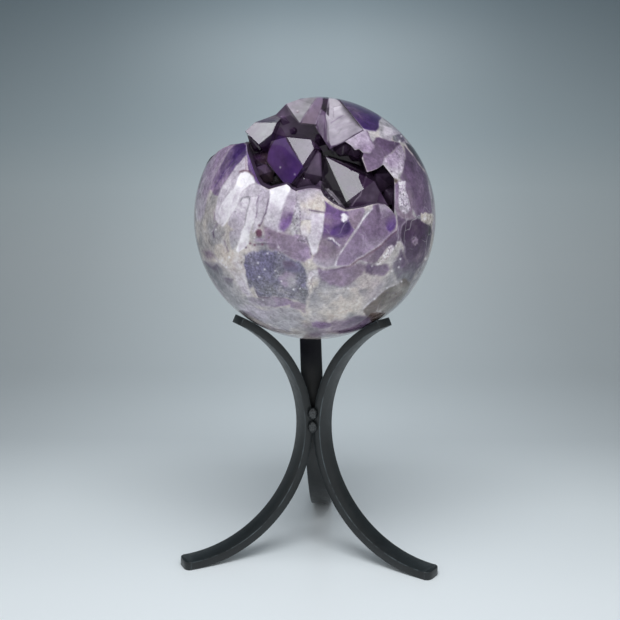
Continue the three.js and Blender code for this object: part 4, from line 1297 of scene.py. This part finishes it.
def polish_colours(piece):
    """The colour of each corner of the ball's polish, painted glints, edge highlights and rim reflections
    included, and where the polish is druse.
    """
    places = corners_of(piece)
    local = (places - np.array(BALL_CENTRE)) / MM
    x, y = seen_at(places).T
    wobble = 2.4 * np.stack([cloud(local, 7, 5), cloud(local, 7, 8)], axis=1)
    colour = milky(local)
    druse = 0.3 * eased(0.2 + 1.4 * cloud(local, 12, 83)) * eased((10 - local[:, 2]) / 40)
    marked(colour, druse, x, y, wobble, POLISH_MARKS)
    colour *= 1 + 0.1 * cloud(local, 8, 61)[:, None] + 0.08 * cloud(local, 2.8, 67)[:, None]
    shift = 0.3 * wobble
    low = eased((25 - local[:, 2]) / 50)
    veil = ((0.14 + 0.34 * low) * eased(0.15 + 0.9 * cloud(local, 11, 91)))[:, None]
    colour += (milky(local) - colour) * veil
    lined(colour, x + shift[:, 0], y + shift[:, 1], eased(0.3 + 1.2 * cloud(local, 6, 97)), POLISH_LINES)
    specked(colour, x, y, POLISH_SPECKS)
    facing = -(local / BALL_RADIUS_MM) @ np.array(FORWARD)
    front = eased((facing + 0.02 - 0.05 * cloud(local, 20, 77)) / 0.1)
    back = banded(local) * (1 + 0.05 * cloud(local, 8, 61)[:, None])
    return back * (1 - front)[:, None] + colour * front[:, None], druse * front


def face_corners(piece, nudge):
    """The corners of each face, moved a little towards its middle so that tints end at its edges."""
    mesh = piece.data
    places = corners_of(piece)
    corner = np.empty(len(mesh.loops), dtype=np.int32)
    mesh.loops.foreach_get("vertex_index", corner)
    counts = np.empty(len(mesh.polygons), dtype=np.int32)
    mesh.polygons.foreach_get("loop_total", counts)
    middle = np.repeat(middles_of(piece), counts, axis=0)
    return places[corner] * (1 - nudge) + middle * nudge


def crust_colours(piece):
    """The colour of each face corner of the crust, painted shade, shadow, reflection and highlights included.
    """
    places = face_corners(piece, 0.3)
    local = (places - np.array(BALL_CENTRE)) / MM
    x, y = seen_at(places).T
    wobble = 2.0 * np.stack([cloud(local, 5, 5), cloud(local, 5, 8)], axis=1)
    level = eased(0.5 + 0.8 * cloud(local, 18, 14))[:, None]
    colour = tint("aubergine") + (tint("plum") - tint("aubergine")) * level
    druse = np.zeros(len(local))
    marked(colour, druse, x, y, wobble, CRUST_MARKS)
    colour *= 1 + 0.16 * cloud(local, 9, 71)[:, None] + 0.07 * cloud(local, 2.6, 73)[:, None]
    lined(colour, x, y, eased(0.2 + 1.2 * cloud(local, 6, 97)), CRUST_LINES)
    specked(colour, x, y, CRUST_SPECKS)
    return colour


# ---------------------------------------------------------------------------------------------- settings


class BallSettings(bpy.types.PropertyGroup):
    """How fine the ball's mesh is."""

    rounds: bpy.props.IntProperty(
        name="Fineness",
        description="Subdivisions of the ball",
        default=7, min=4, max=8,
    )


class CrystalSettings(bpy.types.PropertyGroup):
    """How the hollow's crystals look."""

    edge: bpy.props.FloatProperty(
        name="Edge",
        description="Width of the crystals' edges",
        default=0.2 * MM,
        unit="LENGTH", min=0, max=0.002,
    )
    clarity: bpy.props.FloatProperty(
        name="Clarity",
        description="How much light goes through a crystal",
        default=0.25,
        subtype="FACTOR", min=0, max=1,
    )


class StandSettings(bpy.types.PropertyGroup):
    """Sizes and colour of the iron stand."""

    bar_width: bpy.props.FloatProperty(
        name="Bar width",
        description="Width of the flat bar",
        default=16 * MM,
        unit="LENGTH", min=0.004, max=0.05,
    )
    bar_thickness: bpy.props.FloatProperty(
        name="Bar thickness",
        description="Thickness of the flat bar",
        default=6 * MM,
        unit="LENGTH", min=0.001, max=0.02,
    )
    arc_radius: bpy.props.FloatProperty(
        name="Arc radius",
        description="Radius of each bar's outer face",
        default=93.5 * MM,
        unit="LENGTH", min=0.03, max=0.3,
    )
    edge: bpy.props.FloatProperty(
        name="Edge",
        description="Rounding of the bar's long edges",
        default=0.7 * MM,
        unit="LENGTH", min=0, max=0.003,
    )
    iron_colour: bpy.props.FloatVectorProperty(
        name="Iron",
        description="Colour of the iron",
        subtype="COLOR", size=3,
        default=(0.0065, 0.0082, 0.009), min=0, max=1,
    )


class StageSettings(bpy.types.PropertyGroup):
    """Floor, backdrop and light."""

    key_power: bpy.props.FloatProperty(
        name="Key light", description="Power of the upper light", default=9.5, unit="POWER", min=0
    )
    front_power: bpy.props.FloatProperty(
        name="Front fill",
        description="Power of the low light in front, which no polish mirrors",
        default=3.5,
        unit="POWER", min=0,
    )
    fill: bpy.props.FloatProperty(
        name="Fill", description="Strength of the light from all round", default=0.5, min=0
    )


# ---------------------------------------------------------------------------------------------- pieces


class AMETHYST_OT_ball(bpy.types.Operator):
    """Cut, polish and colour the ball"""

    bl_idname = "amethyst.ball"
    bl_label = "Ball"

    def execute(self, context):
        settings = context.scene.amethyst_ball
        polish = polish_material()
        wall = wall_material("hollow_wall", HOLLOW_WALL_COLOUR)
        rough = wall_material("broken_face", BROKEN_FACE_COLOUR)
        nothing_selected()
        bpy.ops.mesh.primitive_ico_sphere_add(
            subdivisions=settings.rounds, radius=BALL_RADIUS, location=BALL_CENTRE
        )
        piece = added("ball")
        piece.data.materials.append(polish)
        self.refine_front(piece)
        mouth = outline_prism("mouth_tool", MOUTH, HOLLOW_FLOOR, FRONT_REACH, wall)
        cut(piece, mouth, "DIFFERENCE")
        cut(piece, shoulder_tool(rough), "DIFFERENCE")
        colours, druse = polish_colours(piece)
        painted(piece, colours, druse=druse)
        smooth_by_angle(piece, 30)
        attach(piece, "root")
        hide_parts("amethyst_sphere")
        return {"FINISHED"}

    def refine_front(self, piece):
        """Halves the mesh on the side that the picture shows, and puts its corners back on the ball."""
        towards_eye = (EYE - BALL_CENTRE).normalized()
        only(piece)
        facing = (middles_of(piece) - np.array(BALL_CENTRE)) @ np.array(towards_eye) / BALL_RADIUS
        edit_only(piece.data.polygons, "FACE", facing > FINE_SIDE)
        bpy.ops.mesh.subdivide(number_cuts=1)
        bpy.ops.object.mode_set(mode="OBJECT")
        away = corners_of(piece) - np.array(BALL_CENTRE)
        away *= BALL_RADIUS / np.linalg.norm(away, axis=1)[:, None]
        move_corners(piece, away + np.array(BALL_CENTRE))


def behind_faces(name, faces, material, edge):
    """A crystal that lies behind all of its faces: a block that each face trims."""
    nothing_selected()
    middle = from_ball(0, (HOLLOW_FLOOR + FRONT_REACH) / 2, 0)
    bpy.ops.mesh.primitive_cube_add(size=2 * FRONT_REACH * MM, location=middle)
    piece = added(name)
    half_depth = (FRONT_REACH - HOLLOW_FLOOR) / 2 * MM
    for vertex in piece.data.vertices:
        vertex.co.y = middle.y + math.copysign(half_depth, vertex.co.y - middle.y)
    bpy.ops.object.mode_set(mode="EDIT")
    for through, facing in faces:
        bpy.ops.mesh.select_all(action="SELECT")
        bpy.ops.mesh.bisect(plane_co=through, plane_no=facing, use_fill=True, clear_outer=True)
    bpy.ops.mesh.select_all(action="SELECT")
    bpy.ops.mesh.normals_make_consistent(inside=False)
    if edge:
        bpy.ops.mesh.bevel(offset=edge, segments=1, affect="EDGES")
    bpy.ops.object.mode_set(mode="OBJECT")
    piece.data.materials.append(material)
    return piece


def pointed_faces(tip, axis, apothem, face=None):
    """The faces of a quartz crystal of regular habit: six sides and a six-faced point."""
    apex = from_ball(*tip)
    along = Vector((axis[0], -axis[1], axis[2])).normalized()
    main = Vector((face[0], -face[1], face[2])) if face else Vector((axis[2], -axis[1], -axis[0]))
    out = (main - along * main.dot(along)).normalized()
    faces = []
    for k in range(6):
        sideways = Matrix.Rotation(math.radians(60 * k), 3, along) @ out
        faces.append((apex + sideways * apothem * MM, sideways))
        sloping = sideways * math.sin(POINT_FACE_ANGLE) + along * math.cos(POINT_FACE_ANGLE)
        faces.append((apex, sloping))
    return faces


class AMETHYST_OT_crystals(bpy.types.Operator):
    """Grow the crust of crystals that lines the hollow"""

    bl_idname = "amethyst.crystals"
    bl_label = "Crystals"

    def execute(self, context):
        settings = context.scene.amethyst_crystals
        clear = crystal_material("amethyst_points", settings.clarity)
        floor = outline_prism("crystal_crust", MOUTH, HOLLOW_FLOOR, HOLLOW_FLOOR + LINING, clear)
        grown = [floor]
        for name, faces in CRAMPED_CRYSTALS.items():
            planes = [(from_ball(*through), Vector((way[0], -way[1], way[2]))) for through, way in faces]
            grown.append(behind_faces(name, planes, clear, settings.edge))
        grown.append(behind_faces("main_crystal", pointed_faces(*MAIN_CRYSTAL), clear, settings.edge))
        for tip, axis, apothem in SMALL_CRYSTALS:
            grown.append(behind_faces("small_crystal", pointed_faces(tip, axis, apothem), clear, settings.edge))
        piece = grown[0]
        for crystal in grown[1:]:
            cut(piece, crystal, "UNION")
        room = outline_prism("room_tool", inset(MOUTH, CRUST_GAP), HOLLOW_FLOOR + CRUST_GAP, FRONT_REACH, clear)
        cut(piece, room, "INTERSECT")
        nothing_selected()
        bpy.ops.mesh.primitive_ico_sphere_add(subdivisions=6, radius=BALL_RADIUS, location=BALL_CENTRE)
        flush = added("flush_tool")
        flush.data.materials.append(clear)
        cut(piece, flush, "INTERSECT")
        cut(piece, shoulder_tool(clear), "DIFFERENCE")
        self.refine(piece, MARKING_EDGE)
        painted(piece, crust_colours(piece), "CORNER")
        smooth_by_angle(piece, 12)
        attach(piece, "root")
        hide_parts("vug_crystals")
        return {"FINISHED"}

    def refine(self, piece, longest):
        """Halves long edges, so that the crust's faces can carry their markings."""
        only(piece)
        mesh = piece.data
        for _ in range(8):
            places = corners_of(piece)
            ends = np.empty(2 * len(mesh.edges), dtype=np.int32)
            mesh.edges.foreach_get("vertices", ends)
            first, second = places[ends[::2]], places[ends[1::2]]
            long = np.linalg.norm(first - second, axis=1) > longest
            if not long.any():
                break
            edit_only(mesh.edges, "EDGE", long)
            bpy.ops.mesh.subdivide(number_cuts=1)
            bpy.ops.mesh.select_all(action="SELECT")
            bpy.ops.mesh.quads_convert_to_tris()
            bpy.ops.object.mode_set(mode="OBJECT")


class AMETHYST_OT_legs(bpy.types.Operator):
    """Roll the three flat bars and stand them up"""

    bl_idname = "amethyst.legs"
    bl_label = "Legs"

    def execute(self, context):
        settings = context.scene.amethyst_stand
        iron = iron_material(settings)
        # worn is the edges' material: painted edge highlights, with rubbed wear.
        worn = worn_and_highlit_edge_material(settings)
        step = (TIP_ANGLE + math.pi / 2) / (CAD_ARC_STEPS - 0.5)
        foot_angle = -math.pi / 2 - step / 2
        lift = settings.arc_radius * math.cos(step / 2)
        for name, (turn, lean) in LEG_TURNS.items():
            piece = self.rolled_bar(name + "_bar", settings, foot_angle)
            places = corners_of(piece)
            places[:, 1] += math.tan(math.radians(lean)) * places[:, 2]
            turned = Matrix.Rotation(math.radians(turn), 3, "Z")
            places = places @ np.array(turned).T + np.array((BALL_CENTRE.x, BALL_CENTRE.y, lift))
            places[:, 2] = np.maximum(places[:, 2], 0)
            move_corners(piece, places)
            piece.data.materials.append(iron)
            piece.data.materials.append(worn)
            # The bevel's faces take the second material: painted edge highlights, with rubbed wear.
            use_modifier(
                piece, "BEVEL", width=settings.edge, segments=2, limit_method="ANGLE",
                angle_limit=math.radians(50), material=1,
            )
            smooth_by_angle(piece, 40)
            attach(piece, "root")
            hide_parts(name)
        return {"FINISHED"}

    def rolled_bar(self, name, settings, foot_angle):
        """A flat bar in the plane of X and Z, rolled about a centre at height 0, with a rounded foot."""
        radius, thick, width = settings.arc_radius, settings.bar_thickness, settings.bar_width
        centre = Vector((WAIST_INSET * MM + radius, 0, 0))
        nothing_selected()
        bpy.ops.mesh.primitive_plane_add(size=1)
        piece = added(name)
        for vertex in piece.data.vertices:
            reach = radius - thick / 2 + math.copysign(thick / 2, vertex.co.x)
            side = math.copysign(width / 2, vertex.co.y)
            vertex.co = centre + Vector((-reach * math.cos(foot_angle), side, reach * math.sin(foot_angle)))
        bpy.ops.object.mode_set(mode="EDIT")
        bpy.ops.mesh.select_all(action="SELECT")
        bpy.ops.mesh.spin(steps=BAR_STEPS, angle=foot_angle - TIP_ANGLE, center=centre, axis=(0, 1, 0))
        bpy.ops.object.mode_set(mode="OBJECT")
        face_outwards(piece)
        self.round_foot(piece, centre, foot_angle)
        return piece

    def round_foot(self, piece, centre, foot_angle):
        """Rounds the two upright corners at the foot's end."""
        only(piece)
        mesh = piece.data
        end = Vector((-math.cos(foot_angle), 0, math.sin(foot_angle)))
        chosen = []
        for edge in mesh.edges:
            first, second = (mesh.vertices[i].co for i in edge.vertices)
            ways = [(corner - centre) for corner in (first, second)]
            on_end = all(abs(Vector((way.x, 0, way.z)).normalized().dot(end) - 1) < 1e-5 for way in ways)
            chosen.append(on_end and abs(first.y - second.y) < 1e-5)
        edit_only(mesh.edges, "EDGE", chosen)
        bpy.ops.mesh.bevel(offset=FOOT_ROUNDING, segments=6, affect="EDGES")
        bpy.ops.object.mode_set(mode="OBJECT")


class AMETHYST_OT_welds(bpy.types.Operator):
    """Lay the weld beads in the seams between the bars"""

    bl_idname = "amethyst.welds"
    bl_label = "Welds"

    def execute(self, context):
        material = self.weld_material()
        for name, (turn, height, tall) in WELD_BEADS.items():
            piece = self.bead(name + "_bead", turn, height, tall)
            piece.data.materials.append(material)
            smooth_by_angle(piece, 60)
            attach(piece, "root")
            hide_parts(name)
        return {"FINISHED"}

    def weld_material(self):
        """Bare weld metal, scaly and a little paler than the bars."""
        material, tree, shader = new_material("weld_iron")
        scale = noise_texture(tree, own_places(tree), 900, 4, 0.7)
        stops = [(0.35, (0.02, 0.023, 0.025, 1)), (0.7, (0.075, 0.08, 0.083, 1))]
        link(tree, ramped(tree, scale, stops), shader.inputs["Base Color"])
        shader.inputs["Roughness"].default_value = 0.36
        bumped(tree, shader, scale, 0.0006, 0.8)
        return material

    def bead(self, name, turn, height, tall):
        """A lump of weld whose ripples run round it, as the torch left them."""
        nothing_selected()
        bpy.ops.mesh.primitive_ico_sphere_add(subdivisions=5, radius=BEAD_RADIUS * MM)
        piece = added(name)
        places = corners_of(piece)
        lumps = 0.14 * cloud(places / MM, 2.4, int(height))
        ripples = 0.05 * np.cos(places[:, 2] / MM * 2 * math.pi / 1.5 + 2 * lumps)
        ring = -0.22 * np.exp(-((places[:, 1] ** 2 + places[:, 2] ** 2) / (1.1 * MM) ** 2)) * (places[:, 0] > 0)
        places *= (1 + lumps + ripples + ring)[:, None]
        places[:, 2] *= tall / (2 * BEAD_RADIUS)
        places[:, 0] += BEAD_REACH * MM
        turned = Matrix.Rotation(math.radians(turn), 3, "Z")
        places = places @ np.array(turned).T + np.array((BALL_CENTRE.x, BALL_CENTRE.y, height * MM))
        move_corners(piece, places)
        return piece


class AMETHYST_OT_stage(bpy.types.Operator):
    """Set up the floor, the backdrop, the light and the camera"""

    bl_idname = "amethyst.stage"
    bl_label = "Stage"

    def execute(self, context):
        settings = context.scene.amethyst_stage
        context.scene.view_settings.view_transform = "Standard"
        self.sweep()
        self.lights(context, settings)
        self.camera(context)
        return {"FINISHED"}

    def sweep(self):
        """One sheet that is the floor in front and rises to the backdrop behind."""
        nothing_selected()
        bpy.ops.mesh.primitive_plane_add(size=1)
        piece = added("sweep")
        profile = [(SWEEP_FRONT, 0.0), (SWEEP_FLAT_END, 0.0)]
        for turn in np.linspace(0.08, math.pi / 2, 20):
            along = SWEEP_FLAT_END + SWEEP_BEND * math.sin(turn)
            profile.append((along, SWEEP_BEND * (1 - math.cos(turn))))
        profile.append((SWEEP_FLAT_END + SWEEP_BEND, SWEEP_TOP))
        mesh = piece.data
        mesh.clear_geometry()
        points = [(x, y, z) for y, z in profile for x in (-SWEEP_SIDE, SWEEP_SIDE)]
        faces = [(2 * i, 2 * i + 1, 2 * i + 3, 2 * i + 2) for i in range(len(profile) - 1)]
        mesh.from_pydata(points, [], faces)
        material = self.paper()
        mesh.materials.append(material)
        smooth_by_angle(piece, 60)

    def paper(self):
        """Pale paper that darkens towards its top and sides, as where the light falls off."""
        material, tree, shader = new_material("sweep_paper")
        parts = node(tree, "ShaderNodeSeparateXYZ")
        link(tree, own_places(tree), parts.inputs["Vector"])
        depth = node(tree, "ShaderNodeMapRange", {"From Min": -0.1, "From Max": 1.05})
        link(tree, parts.outputs["Y"], depth.inputs["Value"])
        floor = ramped(tree, depth.outputs["Result"], [
            (0.0, colour_value(238, 243, 246)), (0.14, colour_value(234, 240, 243)),
            (0.3, colour_value(216, 223, 227)), (0.9, colour_value(202, 211, 215)),
        ])
        height = node(tree, "ShaderNodeMapRange", {"From Min": 0.1, "From Max": 0.55})
        link(tree, parts.outputs["Z"], height.inputs["Value"])
        upper = ramped(tree, height.outputs["Result"], [
            (0.0, (1, 1, 1, 1)), (0.25, (0.92, 0.95, 0.96, 1)),
            (0.45, (0.72, 0.78, 0.81, 1)), (0.95, (0.36, 0.43, 0.47, 1)),
        ])
        side = node(tree, "ShaderNodeMath", operation="ABSOLUTE")
        link(tree, parts.outputs["X"], side.inputs[0])
        aside = ramped(tree, side.outputs["Value"], [(0.06, 1.0), (0.36, 0.66), (0.6, 0.5)])
        walled = ramped(tree, depth.outputs["Result"], [(0.02, 0.1), (0.3, 0.9)])
        colour = mixed(tree, "MULTIPLY", walled, mixed(tree, "MULTIPLY", 1.0, floor, upper), aside)
        link(tree, colour, shader.inputs["Base Color"])
        shader.inputs["Roughness"].default_value = 0.35
        return material

    def lights(self, context, settings):
        """Even light from all round and two soft lights."""
        world = bpy.data.worlds.new("studio")
        context.scene.world = world
        world.use_nodes = True
        background = world.node_tree.nodes["Background"]
        background.inputs["Color"].default_value = (0.95, 0.98, 1, 1)
        background.inputs["Strength"].default_value = settings.fill
        self.softbox("key", KEY_OFFSET, KEY_SIZE, settings.key_power, (0.95, 0.98, 1))
        front = self.softbox("front_fill", FRONT_OFFSET, FRONT_SIZE, settings.front_power, (1, 1, 1))
        front.visible_glossy = False

    def softbox(self, name, offset, size, power, colour):
        """A soft light that looks at the ball's centre from an offset."""
        lamp = bpy.data.lights.new(name, "AREA")
        lamp.shape = "RECTANGLE"
        lamp.size, lamp.size_y = size
        lamp.energy = power
        lamp.color = colour
        box = bpy.data.objects.new(name, lamp)
        bpy.context.scene.collection.objects.link(box)
        box.location = BALL_CENTRE + Vector(offset)
        box.rotation_mode = "QUATERNION"
        box.rotation_quaternion = Vector(offset).to_track_quat("Z", "Y")
        return box

    def camera(self, context):
        """The camera at the photographer's eye."""
        lens = bpy.data.cameras.new("camera")
        lens.sensor_width = SENSOR
        lens.lens = FOCAL / PICTURE * SENSOR
        lens.clip_start, lens.clip_end = 0.02, 20
        view = bpy.data.objects.new("camera", lens)
        context.scene.collection.objects.link(view)
        turned = Matrix((RIGHT, UP, -FORWARD)).transposed().to_4x4()
        view.matrix_world = Matrix.Translation(EYE) @ turned
        context.scene.camera = view


PANEL_GROUPS = (
    ("amethyst_stage", (AMETHYST_OT_stage,)),
    ("amethyst_stand", (AMETHYST_OT_legs, AMETHYST_OT_welds)),
    ("amethyst_ball", (AMETHYST_OT_ball,)),
    ("amethyst_crystals", (AMETHYST_OT_crystals,)),
)


class AMETHYST_PT_panel(bpy.types.Panel):
    """Lists the pieces and their settings"""

    bl_idname = "AMETHYST_PT_panel"
    bl_label = "Amethyst ball"
    bl_space_type = "VIEW_3D"
    bl_region_type = "UI"
    bl_category = "Amethyst ball"

    def draw(self, context):
        """A box for each group: its settings and the buttons that build its pieces."""
        layout = self.layout
        for name, operators in PANEL_GROUPS:
            settings = getattr(context.scene, name)
            box = layout.box()
            for key in settings.bl_rna.properties.keys():
                if key not in ("rna_type", "name"):
                    box.prop(settings, key)
            for operator in operators:
                box.operator(operator.bl_idname)


SETTINGS = {
    "amethyst_ball": BallSettings,
    "amethyst_crystals": CrystalSettings,
    "amethyst_stand": StandSettings,
    "amethyst_stage": StageSettings,
}
OPERATORS = (AMETHYST_OT_stage, AMETHYST_OT_legs, AMETHYST_OT_welds, AMETHYST_OT_ball, AMETHYST_OT_crystals)


def register():
    """Registers the settings, the operators and the panel."""
    for group in SETTINGS.values():
        bpy.utils.register_class(group)
    for name, group in SETTINGS.items():
        setattr(bpy.types.Scene, name, bpy.props.PointerProperty(type=group))
    for operator in OPERATORS:
        bpy.utils.register_class(operator)
    bpy.utils.register_class(AMETHYST_PT_panel)


def unregister():
    """Takes back what register did."""
    bpy.utils.unregister_class(AMETHYST_PT_panel)
    for operator in reversed(OPERATORS):
        bpy.utils.unregister_class(operator)
    for name, group in SETTINGS.items():
        delattr(bpy.types.Scene, name)
        bpy.utils.unregister_class(group)


def main():
    """Builds everything."""
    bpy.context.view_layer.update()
    register()
    bpy.ops.amethyst.stage()
    bpy.ops.amethyst.legs()
    bpy.ops.amethyst.welds()
    bpy.ops.amethyst.ball()
    bpy.ops.amethyst.crystals()
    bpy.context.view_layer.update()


if __name__ == "__main__":
    main()
